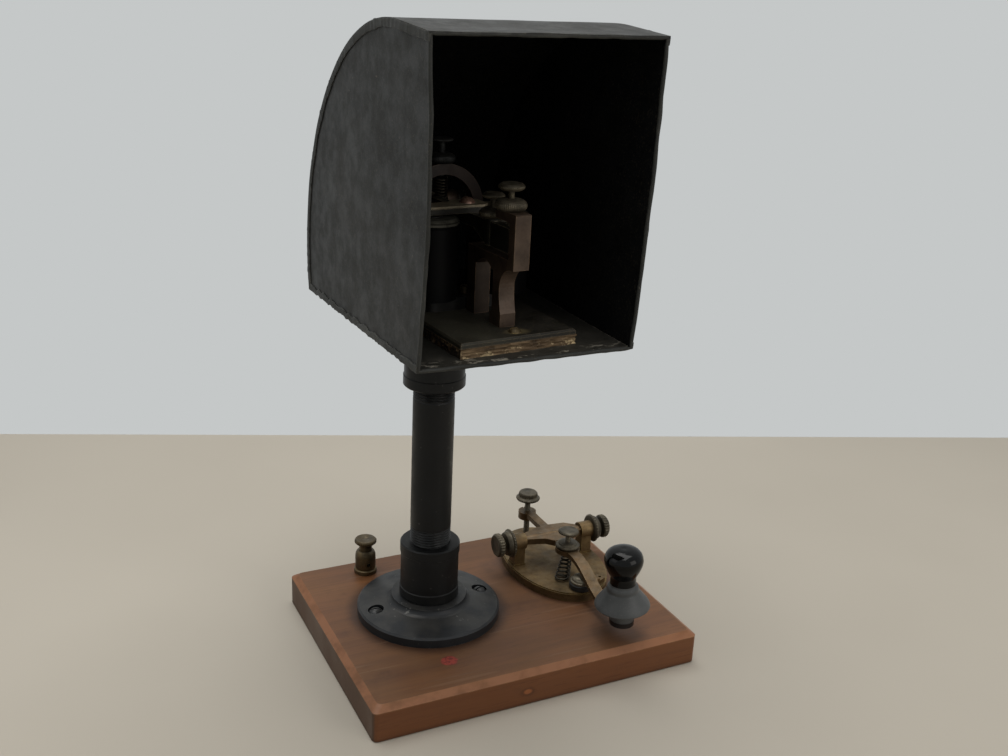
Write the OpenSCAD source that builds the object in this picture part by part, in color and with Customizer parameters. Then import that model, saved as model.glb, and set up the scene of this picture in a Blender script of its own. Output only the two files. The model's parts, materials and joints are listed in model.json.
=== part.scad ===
// Telegraph station set: a sounder in a sheet-metal hood on a pipe stand, with a
// hand key and binding posts on the same wooden board. Millimetres, +Z up.
// Origin: centre of the board's underside. The hood opens towards -Y.

/* [Base board] */
// Width of the wooden board, left to right
board_w = 228; // [215:1:260]
// Depth of the board, front to back
board_d = 174; // [168:1:200]
// Thickness of the board
board_t = 23.4; // [20:0.2:32]
// Radius of the board's upright corners
board_corner_r = 3.5; // [2:0.5:8]
// Height of the bevel round the board's top edge
board_bevel_h = 3.2; // [1:0.2:5]
// Width of that bevel
board_bevel_w = 4.2; // [1:0.2:6]

/* [Pipe stand] */
// Left-right place of the pipe's axis
stand_x = -42; // [-50:1:-34]
// Front-back place of the pipe's axis
stand_y = 5.2; // [-5:0.2:12]
// Outside diameter of the pipe (3/4 inch trade size)
pipe_od = 26.67; // [25:0.01:28]
// Wall of the pipe
pipe_wall = 2.87; // [2:0.01:4]
// Length of pipe that shows between the couplings
pipe_show = 109.7; // [90:0.1:160]
// Depth that a threaded end goes into a coupling
pipe_engage = 15; // [8:1:18]
// Diameter of a floor flange
flange_d = 95.4; // [92:0.1:100]
// Thickness of a flange at its edge
flange_edge_t = 6.7; // [5:0.1:8]
// Height of a flange to the top of its boss
flange_h = 13.6; // [11:0.1:18]
// Diameter of the boss on a flange
flange_boss_d = 50; // [46:0.5:54]
// Diameter of a coupling over its end bands
coupling_d = 39.4; // [36:0.1:42]
// Length of a coupling
coupling_len = 39; // [36:0.5:46]
// Height of a coupling's end band
coupling_band = 6.7; // [4:0.1:9]
// Distance between the two screws of a flange
flange_screw_span = 75; // [70:0.5:80]
// Diameter of a flange screw's shank
flange_screw_d = 4.6; // [3.5:0.1:5.5]
// Diameter of a flange screw's head
flange_screw_head_d = 10.4; // [9:0.1:11.5]

/* [Hood] */
// Left-right place of the hood's left wall at its floor
hood_left = -101; // [-104:0.5:-98]
// Width of the hood's mouth along the floor
hood_w_floor = 129; // [124:0.5:136]
// How far the left wall has leaned inwards at the top of the mouth
hood_lean_left = 2.5; // [0:0.5:5]
// How far the right wall has leaned outwards at the top of the mouth
hood_lean_right = 6; // [0:0.5:8]
// Front-back place of the mouth
hood_front_y = -110; // [-114:0.5:-106]
// Depth of the hood from its mouth to its back
hood_depth = 191.8; // [182:0.2:200]
// Height of the mouth
hood_h = 167; // [155:0.5:180]
// Height of the crest above the top of the mouth
hood_crest = 3.1; // [1:0.1:6]
// Radius of the curved back
hood_back_r = 142; // [130:1:150]
// How far the walls run below the floor at the back
hood_back_drop = 5.5; // [2:0.5:8]
// Thickness of the sheet metal
sheet_t = 1; // [0.8:0.1:1.4]
// Width of the folded seams
seam_w = 4.5; // [3:0.5:7]
// Thickness that a folded seam adds
seam_t = 0.8; // [0.5:0.1:1.2]
// Thickness of the rolled rim round the mouth
rim_t = 2.4; // [2:0.1:3.5]

/* [Line binding posts] */
// Left-right place of the first post
post_x = -64.4; // [-72:0.2:-58]
// Distance between the two posts
post_pitch = 43; // [38:0.5:50]
// Front-back place of the posts
post_y = 69; // [64:0.5:74]
// Diameter of a post's foot
post_foot_d = 16; // [15:0.1:18]
// Diameter of a post's body
post_body_d = 14.4; // [12:0.1:15]
// Height of a post's body to its shoulder
post_body_h = 17.4; // [15:0.1:20]
// Diameter of the hole for the line wire
post_wire_d = 3.2; // [2.5:0.1:4]
// Diameter of the thumb screw's head
post_head_d = 15.5; // [13:0.1:17]
// Height of the thumb screw's head above the shoulder
post_head_rise = 8.6; // [7:0.1:12]

/* [Key] */
// Left-right place of the key's lever
key_x = 64.7; // [60:0.1:66]
// Front-back place of the key's arbor
key_y = 31; // [26:0.5:34]
// Half width of the oval base
key_base_a = 34; // [32:0.5:36]
// Half length of the oval base
key_base_b = 52; // [49:0.5:54]
// Thickness of the oval base
key_base_t = 6.2; // [5:0.1:8]
// Height of the arbor above the board
arbor_h = 23; // [21:0.1:26]
// Distance between the two bearing posts, centre to centre
key_post_pitch = 54.6; // [50:0.2:58]
// Diameter of the round bearing head on a post
key_post_head_d = 12; // [11:0.1:14]
// Length of that bearing head along the arbor
key_post_head_l = 9.6; // [8:0.1:11]
// Diameter of the arbor
arbor_d = 4.4; // [3.6:0.1:5]
// Diameter of the arbor's end pivots
pivot_d = 2.4; // [2:0.1:2.8]
// Diameter of the trunnion screws
trunnion_d = 6; // [5:0.1:6.4]
// Diameter of the trunnion lock nuts
trunnion_nut_d = 20.6; // [16:0.2:21]
// Diameter of the trunnion screws' heads
trunnion_head_d = 17; // [13:0.2:18]
// Width of the lever's strap
strap_w = 8.2; // [7:0.1:10]
// Thickness of the lever's strap
strap_t = 3.2; // [2.8:0.1:4]
// Height of the strap's top above the arbor
strap_rise = 2.6; // [2:0.1:3.2]
// How far the strap drops from the arbor to the knob
strap_drop = 14.4; // [9:0.1:14.8]
// Distance from the arbor forward to where the strap starts down
strap_bend_y = 36; // [33:0.5:39]
// Distance from the arbor forward to the end of the bend
strap_low_y = 80; // [76:0.5:84]
// Distance from the arbor forward to the knob
knob_y = 100; // [96:0.5:104]
// Distance from the arbor forward to the contact
contact_y = 47.5; // [46:0.5:50]
// Air gap between the contacts with the key open
contact_gap = 1; // [0.5:0.1:1.6]
// Distance from the arbor forward to the spring screw
spring_screw_y = 24; // [22:0.5:28]
// Distance from the arbor back to the gap screw
gap_screw_y = 39; // [37:0.5:42]
// Diameter of the gap screw
gap_screw_d = 4.4; // [4:0.1:5.4]
// Diameter of the spring screw
spring_screw_d = 3.8; // [3:0.1:4.2]
// Diameter of the knob's ball
knob_d = 26.6; // [24:0.1:29]
// Diameter of the finger skirt
skirt_d = 36.8; // [32:0.1:40]
// Height of the skirt's rim above the strap's low end
skirt_rise = 10.8; // [8:0.1:13]
// Height of the skirt from its rim to the knob's neck
skirt_h = 13.4; // [8:0.1:15]
// Height of the ball's centre above the skirt
ball_lift = 17.5; // [15:0.1:22]

/* [Sounder] */
// Left-right place of the middle of the sounder's front edge
sounder_x = -34; // [-37:0.5:-32]
// Front-back place of the sounder's front edge
sounder_y = -94; // [-98:0.5:-90]
// Turn of the sounder on the hood's floor, degrees
sounder_yaw = 4.5; // [0:0.5:6]
// Width of the sounder's base
bed_w = 73.5; // [70:0.5:79]
// Length of the sounder's base
bed_l = 146; // [140:1:150]
// Thickness of the sounder's wooden base
bed_wood_t = 5.4; // [4:0.1:8]
// Thickness of the bed plate on it
bed_plate_t = 3; // [2:0.1:6]
// Width of the anvil bridge
anvil_w = 9.6; // [8:0.1:11]
// Depth of the anvil's upright slab
slab_d = 6; // [5:0.1:8]
// Height of the slab's top above the bed plate
slab_top = 64.6; // [62:0.1:68]
// Height of the anvil's crossbar above the bed plate
bar_top = 39.3; // [35:0.1:39.4]
// Width of the sounder's lever
lever_w = 6; // [5:0.1:7]
// Height of the lever's underside above the bed plate
lever_low = 41.9; // [41.8:0.1:43.8]
// Depth of the lever's front beam
lever_deep = 13.6; // [12:0.1:14]
// Depth of the lever behind the beam
lever_thin = 7.2; // [6:0.1:8]
// Distance from the front edge to the lever's arbor
lever_arbor_y = 114; // [111:0.5:118]
// Distance from the front edge to the upper stop screw
upper_stop_y = 17.5; // [17:0.5:19]
// Distance from the front edge to the lower stop screw
lower_stop_y = 36; // [34:0.5:38]
// Travel of the lever at its lower stop
lever_travel = 1; // [0.5:0.1:1.4]
// Diameter of the stop screws
stop_screw_d = 3.8; // [3:0.1:4.2]
// Distance between the two coils, centre to centre
coil_pitch = 46.4; // [42:0.2:48]
// Distance from the front edge to the coils
coil_y = 61.5; // [60:0.5:64]
// Outside diameter of a coil's cover
coil_d = 28.8; // [27:0.2:32]
// Diameter of a magnet core
core_d = 10; // [8:0.2:12]
// Thickness of the magnet's heel bar
heel_t = 7.4; // [4:0.1:9]
// Air gap between the cores and the armature
pole_gap = 1; // [0.9:0.1:1.6]
// Thickness of the armature
armature_t = 3; // [2.4:0.1:4]
// Distance from the front edge to the arch
arch_y = 98.5; // [90:0.5:100]
// Outside radius of the arch
arch_r = 27; // [25:0.5:30]
// Thickness of the arch's band
arch_band = 6.4; // [5:0.1:8]
// Height of the arch's crown above the bed plate
arch_top = 76.8; // [75:0.1:84]
// Diameter of the tension screw
tension_screw_d = 4; // [3:0.1:5]

/* [Springs] */
// Curls of the key's spring
key_spring_turns = 6; // [4:1:7]
// Radius of the key's spring at its foot, to the middle of its wire
key_spring_r = 4.9; // [4:0.1:5.4]
// Radius of the key's spring at its top, to the middle of its wire
key_spring_top_r = 3.3; // [2.8:0.1:4.2]
// Diameter of the key spring's wire
key_spring_wire = 1.3; // [0.8:0.1:1.4]
// Curls of the sounder's spring
pull_spring_turns = 6; // [4:1:8]
// Radius of the sounder's spring, to the middle of its wire
pull_spring_r = 3.8; // [2:0.1:4.2]
// Diameter of the sounder spring's wire
pull_spring_wire = 0.9; // [0.6:0.1:1]

/* [Hidden] */
$fn = 48;

// Clearances
thread_gap = 0.05;      // radial, a threaded piece in its fixed mate
turn_gap = 0.07;        // radial, a screw that turns in its bore
seat_gap = 0.1;         // between a nut and the face that it seats on
stop_gap = 0.04;        // between a stop and what rests on it
e = 0.01;

// Levels of the stand
z_coupling = board_t + flange_h;
z_pipe_show = z_coupling + coupling_len;
z_upper_coupling = z_pipe_show + pipe_show;
z_upper_flange = z_upper_coupling + coupling_len;
z_floor = z_upper_flange + flange_h;
pipe_r = pipe_od / 2;
flange_bore_r = pipe_r + thread_gap;

// Hood outline, in the plane of its side walls
hood_mouth_top = z_floor + hood_h;
hood_cy = hood_front_y + hood_depth - hood_back_r;
hood_cz = hood_mouth_top + hood_crest - hood_back_r;
hood_corner = [hood_front_y - hood_cy, hood_mouth_top - hood_cz];
hood_a1 = atan2(hood_corner[1], hood_corner[0]) - acos(hood_back_r / norm(hood_corner));
hood_low = z_floor - hood_back_drop;
hood_steps = 40;
hood_x_mid = hood_left + hood_w_floor / 2;

// Key levels, above the board
strap_top = arbor_h + strap_rise;
strap_low_top = strap_top - strap_drop;
key_base_cx = 0.1;
key_base_cy = -4.5;
post_in_x = key_post_pitch / 2 - key_post_head_l / 2;
post_out_x = key_post_pitch / 2 + key_post_head_l / 2;
barrel_l = 2 * post_in_x - 0.8;
hammer_l = 2.4;
hammer_r = 2.2;
contact_top = strap_z(-contact_y) - strap_t - hammer_l - contact_gap;
nut_in_x = post_out_x + seat_gap;
trunnion_nut_t = 5.4;
trunnion_head_t = 4.8;
trunnion_neck = 2.8;
spring_nut_t = 4.4;
rim_z = strap_low_top + skirt_rise;
skirt_top_z = rim_z + skirt_h;
ball_z = skirt_top_z + ball_lift;

// Sounder levels, above the hood's floor
bed_top = bed_wood_t + bed_plate_t;
lever_z0 = bed_top + lever_low;
lever_z1 = lever_z0 + lever_deep;
lever_axis_z = lever_z1 - lever_thin / 2;
anvil_bar_z = bed_top + bar_top;
slab_z = bed_top + slab_top;
slab_y = 3.8;
slab_back = slab_y + slab_d;
bed_cx = -2.2;
bed_front = -2.8;
arm_t = 5;
pole_z = lever_z1 - pole_gap;
coil_z0 = bed_top + heel_t;
cover_top = pole_z - 0.6;
arch_z = bed_top + arch_top;
arch_depth = 8;
bracket_in_x = 10.5;
bracket_out_x = 18;
tension_tip_z = arch_z - arch_band - 1.5;
upper_nut_t = 6.4;
lower_nut_t = 5.6;
tension_nut_t = 6;
lever_collar_h = 1.4;
armature_cy = coil_y + 1.8;
armature_screw_y = armature_cy + 2.4;

// Height of the strap's top at a place y before the arbor
function strap_z(y) =
    -y <= strap_bend_y ? strap_top
    : -y >= strap_low_y ? strap_low_top
    : strap_top - strap_drop * (1 - cos(180 * (-y - strap_bend_y) / (strap_low_y - strap_bend_y))) / 2;

// Points of the hood's outline, inset by d, from the rear corner over to the mouth
function hood_curve(d) =
    let (r = hood_back_r - d, a0 = asin((hood_low - hood_cz) / r))
    [for (i = [0:hood_steps])
        let (a = a0 + (hood_a1 - a0) * i / hood_steps)
        [hood_cy + r * cos(a), hood_cz + r * sin(a)]];

// Height of the inset outline at the mouth
function mouth_z(d, y) = hood_mouth_top - d / sin(hood_a1)
    - (y - hood_front_y) * cos(hood_a1) / sin(hood_a1);

// Place of a side wall's outer face at height z
function wall_x(side, z) =
    side < 0 ? hood_left + hood_lean_left * (z - z_floor) / hood_h
    : hood_left + hood_w_floor + hood_lean_right * (z - z_floor) / hood_h;

function unit(v) = v / norm(v);

// A tube along a path, its rings turned by the reference directions
function tube_points(path, refs, r, sides) =
    [for (i = [0:len(path) - 1])
        let (t = unit(path[min(i + 1, len(path) - 1)] - path[max(i - 1, 0)]),
            n = unit(refs[i] - t * (refs[i] * t)), b = cross(t, n))
        for (k = [0:sides - 1])
            path[i] + r * (cos(360 * k / sides + 30) * n + sin(360 * k / sides + 30) * b)];

function tube_faces(rings, sides) = concat(
    [for (i = [0:rings - 2], k = [0:sides - 1])
        let (a = i * sides + k, b = i * sides + (k + 1) % sides)
        [a, b, a + sides]],
    [for (i = [0:rings - 2], k = [0:sides - 1])
        let (a = i * sides + k, b = i * sides + (k + 1) % sides)
        [b, b + sides, a + sides]],
    [for (k = [1:sides - 2]) [0, k + 1, k]],
    [for (k = [1:sides - 2]) let (o = (rings - 1) * sides) [o, o + k, o + k + 1]]);

// Least distance between points a curl or more apart, less the wire
function curl_gap(path, per_turn, wire) =
    min([for (i = [0:len(path) - per_turn - 1], j = [i + per_turn - 2:len(path) - 1])
        norm(path[i] - path[j])]) - wire;

// A spring from the point low to the point high, its curls level and their middle
// moving along the straight line between the two, with upright wire ends if wanted
module spring(low, high, r_low, r_high, wire, turns, stem = 0) {
    per_turn = 8;
    steps = per_turn * turns;
    z0 = low[2] + stem + wire / 2;
    z1 = high[2] - stem - wire / 2;
    radial = [for (i = [0:steps]) let (f = 360 * i / per_turn) [cos(f), sin(f), 0]];
    curls = [for (i = [0:steps]) let (t = i / steps)
        [low[0] + (high[0] - low[0]) * t, low[1] + (high[1] - low[1]) * t, z0 + (z1 - z0) * t]
        + (r_low + (r_high - r_low) * t) * radial[i]];
    start = curls[0];
    finish = curls[steps];
    path = stem == 0 ? curls : concat(
        [[start[0], start[1], low[2]], [start[0], start[1], low[2] + stem - wire / 2]], curls,
        [[finish[0], finish[1], high[2] - stem + wire / 2], [finish[0], finish[1], high[2]]]);
    refs = stem == 0 ? radial
        : concat([radial[0], radial[0]], radial, [radial[steps], radial[steps]]);
    echo(least_gap_between_curls = curl_gap(curls, per_turn, wire));
    polyhedron(tube_points(path, refs, wire / 2, 6), tube_faces(len(path), 6));
}

module in_key() {
    translate([key_x, key_y, board_t]) children();
}

module in_sounder() {
    translate([sounder_x, sounder_y, z_floor + sheet_t]) rotate([0, 0, sounder_yaw]) children();
}

module in_stand(z) {
    translate([stand_x, stand_y, z]) children();
}

// A turned disc with eased edges, standing on z = 0
module disc(d, t, ease = 0.7) {
    rotate_extrude() polygon([[0, 0], [d / 2 - ease, 0], [d / 2, ease],
        [d / 2, t - ease], [d / 2 - ease, t], [0, t]]);
}

// The same disc with a bore
module ring(d, t, bore, ease = 0.7) {
    rotate_extrude() polygon([[bore / 2, 0], [d / 2 - ease, 0], [d / 2, ease],
        [d / 2, t - ease], [d / 2 - ease, t], [bore / 2, t]]);
}

module round_head(d, h) {
    r = (pow(d / 2, 2) + h * h) / (2 * h);
    intersection() {
        translate([0, 0, h - r]) sphere(r);
        cylinder(d = d, h = h);
    }
}

// Points along +X from a shape drawn along +Z
module along_x() {
    rotate([0, 90, 0]) children();
}

module board_slab(inset, h) {
    r = board_corner_r;
    linear_extrude(h) hull() for (sx = [-1, 1], sy = [-1, 1])
        translate([sx * (board_w / 2 - inset - r), sy * (board_d / 2 - inset - r)])
            circle(r, $fn = 32);
}

leg_y = [-38, 30];
leg_d = 5;
leg_pocket_d = 16;
leg_pocket_h = 9;
leg_nut_d = 12;

module base_board() {
    color("#7b4a36") difference() {
        hull() {
            translate([0, 0, 0]) board_slab(0.6, 1);
            translate([0, 0, 0.6]) board_slab(0, board_t - board_bevel_h - 0.6);
            translate([0, 0, board_t - 0.5]) board_slab(board_bevel_w, 0.5);
        }
        for (s = [-1, 1]) in_stand(board_t - flange_screw_len)
            translate([s * flange_screw_span / 2, 0, 0])
                cylinder(d = flange_screw_d, h = flange_screw_len + e);
        for (i = [0, 1]) translate([post_x + i * post_pitch, post_y, board_t - post_stud_l])
            cylinder(d = post_stud_d, h = post_stud_l + e);
        in_key() for (y = leg_y) translate([key_base_cx, y, -board_t - e]) {
            cylinder(d = leg_d + 0.4, h = board_t + 2 * e);
            cylinder(d = leg_pocket_d, h = leg_pocket_h);
        }
    }
}

flange_screw_len = 17;
flange_top_r = 28;
flange_slope_t = 9.2;
screw_seat_r = flange_screw_span / 2;
screw_seat_z = flange_edge_t + (flange_slope_t - flange_edge_t)
    * (flange_d / 2 - screw_seat_r) / (flange_d / 2 - flange_top_r);

// Flange standing on its face at z = 0
module flange() {
    difference() {
        rotate_extrude() polygon(concat(
            [[flange_bore_r, 0], [flange_d / 2, 0], [flange_d / 2, flange_edge_t - 1.2],
                [flange_d / 2 - 1.2, flange_edge_t]],
            [for (i = [0:6]) let (a = 15 * i, r = flange_h - flange_slope_t)
                [flange_boss_d / 2 + r * (1 - sin(a)), flange_slope_t + r * (1 - cos(a))]],
            [[flange_boss_d / 2 - 1, flange_h], [flange_bore_r, flange_h]]));
        for (s = [-1, 1]) translate([s * flange_screw_span / 2, 0, -e]) {
            cylinder(d = flange_screw_d, h = flange_h);
            translate([0, 0, screw_seat_z - 2.6]) cylinder(d = flange_screw_head_d + 0.2, h = 8);
        }
    }
}

// Slotted round-head screw for a flange: head seat at z = 0, shank down
module flange_screw(len) {
    difference() {
        union() {
            round_head(flange_screw_head_d, 3.2);
            translate([0, 0, -len]) cylinder(d = flange_screw_d, h = len);
        }
        translate([-flange_screw_head_d, -0.6, 1.7]) cube([2 * flange_screw_head_d, 1.2, 3]);
    }
}

module floor_flange() {
    color("#2b2e33") in_stand(board_t) flange();
}

// Two screws down into the board, and two from below through the upper flange and the
// hood's floor into the sounder's base
module flange_screws() {
    seat = screw_seat_z - 2.6;
    color("#33363a") {
        for (s = [-1, 1]) in_stand(board_t + seat)
            translate([s * flange_screw_span / 2, 0, 0]) rotate([0, 0, 20 * s])
                flange_screw(flange_screw_len - 1 + seat);
        for (s = [-1, 1]) in_stand(z_floor - seat)
            translate([0, s * flange_screw_span / 2, 0]) mirror([0, 0, 1])
                flange_screw(seat + sheet_t + bed_wood_t - 0.6);
    }
}

module nipple(h) {
    difference() {
        cylinder(r = pipe_r, h = h);
        translate([0, 0, -e]) cylinder(r = pipe_r - pipe_wall, h = h + 2 * e);
    }
}

// Pipe coupling with a bead at each end, standing on z = 0
module coupling() {
    r = coupling_d / 2;
    waist = r - 0.5;
    rotate_extrude() polygon([[flange_bore_r, 0], [r - 0.8, 0], [r, 0.8], [r, coupling_band],
        [waist, coupling_band + 0.5], [waist, coupling_len - coupling_band - 0.5],
        [r, coupling_len - coupling_band], [r, coupling_len - 0.8], [r - 0.8, coupling_len],
        [flange_bore_r, coupling_len]]);
}

module lower_nipple() {
    color("#26282b") in_stand(board_t + 1) nipple(flange_h - 1 + pipe_engage);
}

module lower_coupling() {
    color("#24262a") in_stand(z_coupling) coupling();
}

module stand_pipe() {
    color("#1f2124") in_stand(z_pipe_show - pipe_engage) nipple(pipe_show + 2 * pipe_engage);
}

module upper_coupling() {
    color("#24262a") in_stand(z_upper_coupling) coupling();
}

module upper_nipple() {
    color("#26282b") in_stand(z_upper_flange - pipe_engage) nipple(flange_h - 1 + pipe_engage);
}

module upper_flange() {
    color("#2b2e33") in_stand(z_floor) mirror([0, 0, 1]) rotate([0, 0, 90]) flange();
}

// Extrudes an outline drawn in (y, z) along the whole width of the hood
module across_hood() {
    translate([hood_x_mid - 100, 0, 0]) rotate([90, 0, 90]) linear_extrude(200) children();
}

// The layer of a side wall between the depths d0 and d1 under its outer face
module wall_layer(side, d0, d1) {
    z0 = hood_low - 20;
    z1 = hood_mouth_top + 20;
    translate([0, hood_front_y + hood_depth + 20, 0]) rotate([90, 0, 0])
        linear_extrude(hood_depth + 40) polygon([[wall_x(side, z0) - side * d0, z0],
            [wall_x(side, z1) - side * d0, z1], [wall_x(side, z1) - side * d1, z1],
            [wall_x(side, z0) - side * d1, z0]]);
}

// The band of the hood's outline between the insets d0 and d1
module curve_band(d0, d1) {
    front = hood_front_y + rim_t;
    outer = hood_curve(d0);
    inner = hood_curve(d1);
    polygon(concat(outer, [[front, mouth_z(d0, front)], [front, mouth_z(d1, front)]],
        [for (i = [hood_steps:-1:0]) inner[i]]));
}

hood_floor_inset = seam_t + sheet_t + 0.05;

module hood_floor() {
    front = hood_front_y + rim_t;
    back = hood_cy + sqrt(pow(hood_back_r - sheet_t, 2) - pow(z_floor - hood_cz, 2)) - 0.05;
    color("#1b1c1e") difference() {
        translate([0, 0, z_floor]) linear_extrude(sheet_t)
            polygon([[wall_x(-1, z_floor) + hood_floor_inset + 0.02, front],
                [wall_x(1, z_floor) - hood_floor_inset, front],
                [wall_x(1, z_floor) - hood_floor_inset, back],
                [wall_x(-1, z_floor) + hood_floor_inset + 0.02, back]]);
        for (s = [-1, 1]) in_stand(z_floor - e) translate([0, s * flange_screw_span / 2, 0])
            cylinder(d = flange_screw_d, h = sheet_t + 2 * e);
    }
}

module hood_side(side) {
    front = hood_front_y + rim_t;
    inner = hood_curve(sheet_t);
    rear = inner[0];
    slope = hood_back_drop / (rear[0] - hood_front_y);
    bottom = z_floor - slope * (front - hood_front_y);
    intersection() {
        across_hood() polygon(concat(inner, [[front, mouth_z(sheet_t, front)], [front, bottom]]));
        wall_layer(side, seam_t, seam_t + sheet_t);
    }
    intersection() {
        across_hood() polygon([[front, bottom], [rear[0] - seam_w, hood_low + slope * seam_w],
            [rear[0] - seam_w - 1, hood_low + slope * seam_w + seam_w],
            [front, bottom + seam_w]]);
        wall_layer(side, 0, seam_t);
    }
}

module hood_left_side() {
    color("#3a3c3e") hood_side(-1);
}

module hood_right_side() {
    color("#3a3c3e") hood_side(1);
}

// Top and back in one curved sheet, with its edges folded over the side walls
module hood_back() {
    color("#343638") {
        intersection() {
            across_hood() curve_band(0, sheet_t);
            union() {
                wall_layer(-1, 0, hood_w_floor / 2 + 6);
                wall_layer(1, 0, hood_w_floor / 2 + 6);
            }
        }
        for (side = [-1, 1]) intersection() {
            across_hood() curve_band(0, seam_w);
            wall_layer(side, 0, seam_t);
        }
    }
}

// Trapezium of the mouth, inset by d
module mouth_outline(d) {
    z0 = z_floor - 0.8 + d;
    z1 = hood_mouth_top - d;
    polygon([[wall_x(-1, z0) + d, z0], [wall_x(-1, z1) + d, z1],
        [wall_x(1, z1) - d, z1], [wall_x(1, z0) - d, z0]]);
}

module hood_rim() {
    color("#2c2d2f") translate([0, hood_front_y + rim_t, 0]) rotate([90, 0, 0])
        linear_extrude(rim_t) difference() {
            mouth_outline(0);
            mouth_outline(rim_t);
        }
}

post_stud_d = 4;
post_stud_l = 14;
post_screw_d = 5;
post_foot_h = 3.4;
post_dome_z = 12.8;
post_wire_z = 8;

module line_post() {
    r = post_body_d / 2;
    neck = post_screw_d / 2 + 2.2;
    difference() {
        rotate_extrude() polygon(concat(
            [[0, -post_stud_l + 1], [post_stud_d / 2, -post_stud_l + 1], [post_stud_d / 2, 0],
                [post_foot_d / 2 - 0.6, 0], [post_foot_d / 2, 0.6],
                [post_foot_d / 2, post_foot_h - 0.6], [post_foot_d / 2 - 0.6, post_foot_h],
                [r - 0.3, post_foot_h], [r, post_foot_h + 1]],
            [for (i = [0:6]) let (a = 15 * i)
                [neck + (r - neck) * cos(a), post_dome_z + (post_body_h - post_dome_z) * sin(a)]],
            [[0, post_body_h]]));
        translate([0, 0, post_wire_z]) cylinder(d = post_screw_d + 2 * turn_gap, h = post_body_h);
        translate([0, post_body_d, post_wire_z]) rotate([90, 0, 0])
            cylinder(d = post_wire_d, h = 2 * post_body_d);
    }
}

module line_posts() {
    color("#6b5b40") for (i = [0, 1])
        translate([post_x + i * post_pitch, post_y, board_t]) line_post();
}

// Thumb screw of a line post: neck, dished head and a tip that clamps the wire
module line_post_screw(i) {
    top = post_body_h + post_head_rise;
    color("#5c5040") translate([post_x + i * post_pitch, post_y, board_t])
        rotate_extrude() polygon([[0, post_wire_z + post_wire_d / 2 + 0.4],
            [post_screw_d / 2, post_wire_z + post_wire_d / 2 + 0.4],
            [post_screw_d / 2, post_body_h + seat_gap], [4.7, post_body_h + seat_gap],
            [4.4, top - 4.4], [post_head_d / 2 - 0.9, top - 3.2], [post_head_d / 2, top - 2.4],
            [post_head_d / 2, top - 0.9], [post_head_d / 2 - 0.9, top], [2.6, top],
            [1.6, top - 0.6], [0, top - 0.6]]);
}

module line_post_screw_left() {
    line_post_screw(0);
}

module line_post_screw_right() {
    line_post_screw(1);
}

// Oval base of the key with its two bearing posts, in one casting
module key_base() {
    steps = 72;
    color("#6f5f3c") in_key() difference() {
        union() {
            for (lift = [[0, key_base_t - 0.8, 0], [key_base_t - 0.8, 0.8, 0.7]])
                translate([key_base_cx, key_base_cy, lift[0]]) linear_extrude(lift[1])
                    polygon([for (i = [0:steps - 1]) let (a = 360 * i / steps)
                        [(key_base_a - lift[2]) * cos(a), (key_base_b - lift[2]) * sin(a)]]);
            for (s = [-1, 1]) translate([s * key_post_pitch / 2, 0, 0]) {
                translate([-4, -4.5, key_base_t - 1]) cube([8, 9, arbor_h - key_base_t + 1]);
                translate([-4.6, -5.1, key_base_t - 1]) cube([9.2, 10.2, 2]);
                translate([-key_post_head_l / 2, 0, arbor_h]) along_x()
                    cylinder(d = key_post_head_d, h = key_post_head_l);
            }
        }
        for (s = [-1, 1]) translate([s * key_post_pitch / 2 - key_post_head_l, 0, arbor_h])
            along_x() cylinder(d = trunnion_d + 2 * turn_gap, h = 2 * key_post_head_l);
        for (y = leg_y) translate([key_base_cx, y, -e]) cylinder(d = leg_d, h = key_base_t - 2);
    }
}

// Two studs that hold the key's base down, with nuts in pockets under the board
module key_leg_bolts() {
    color("#8a8378") in_key() for (y = leg_y) translate([key_base_cx, y, -board_t + 1.5]) {
        cylinder(d = leg_d, h = board_t - 1.5 + key_base_t - 2.1);
        translate([0, 0, leg_pocket_h - 1.5 - 4]) cylinder(d = leg_nut_d, h = 4, $fn = 6);
    }
}

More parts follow.
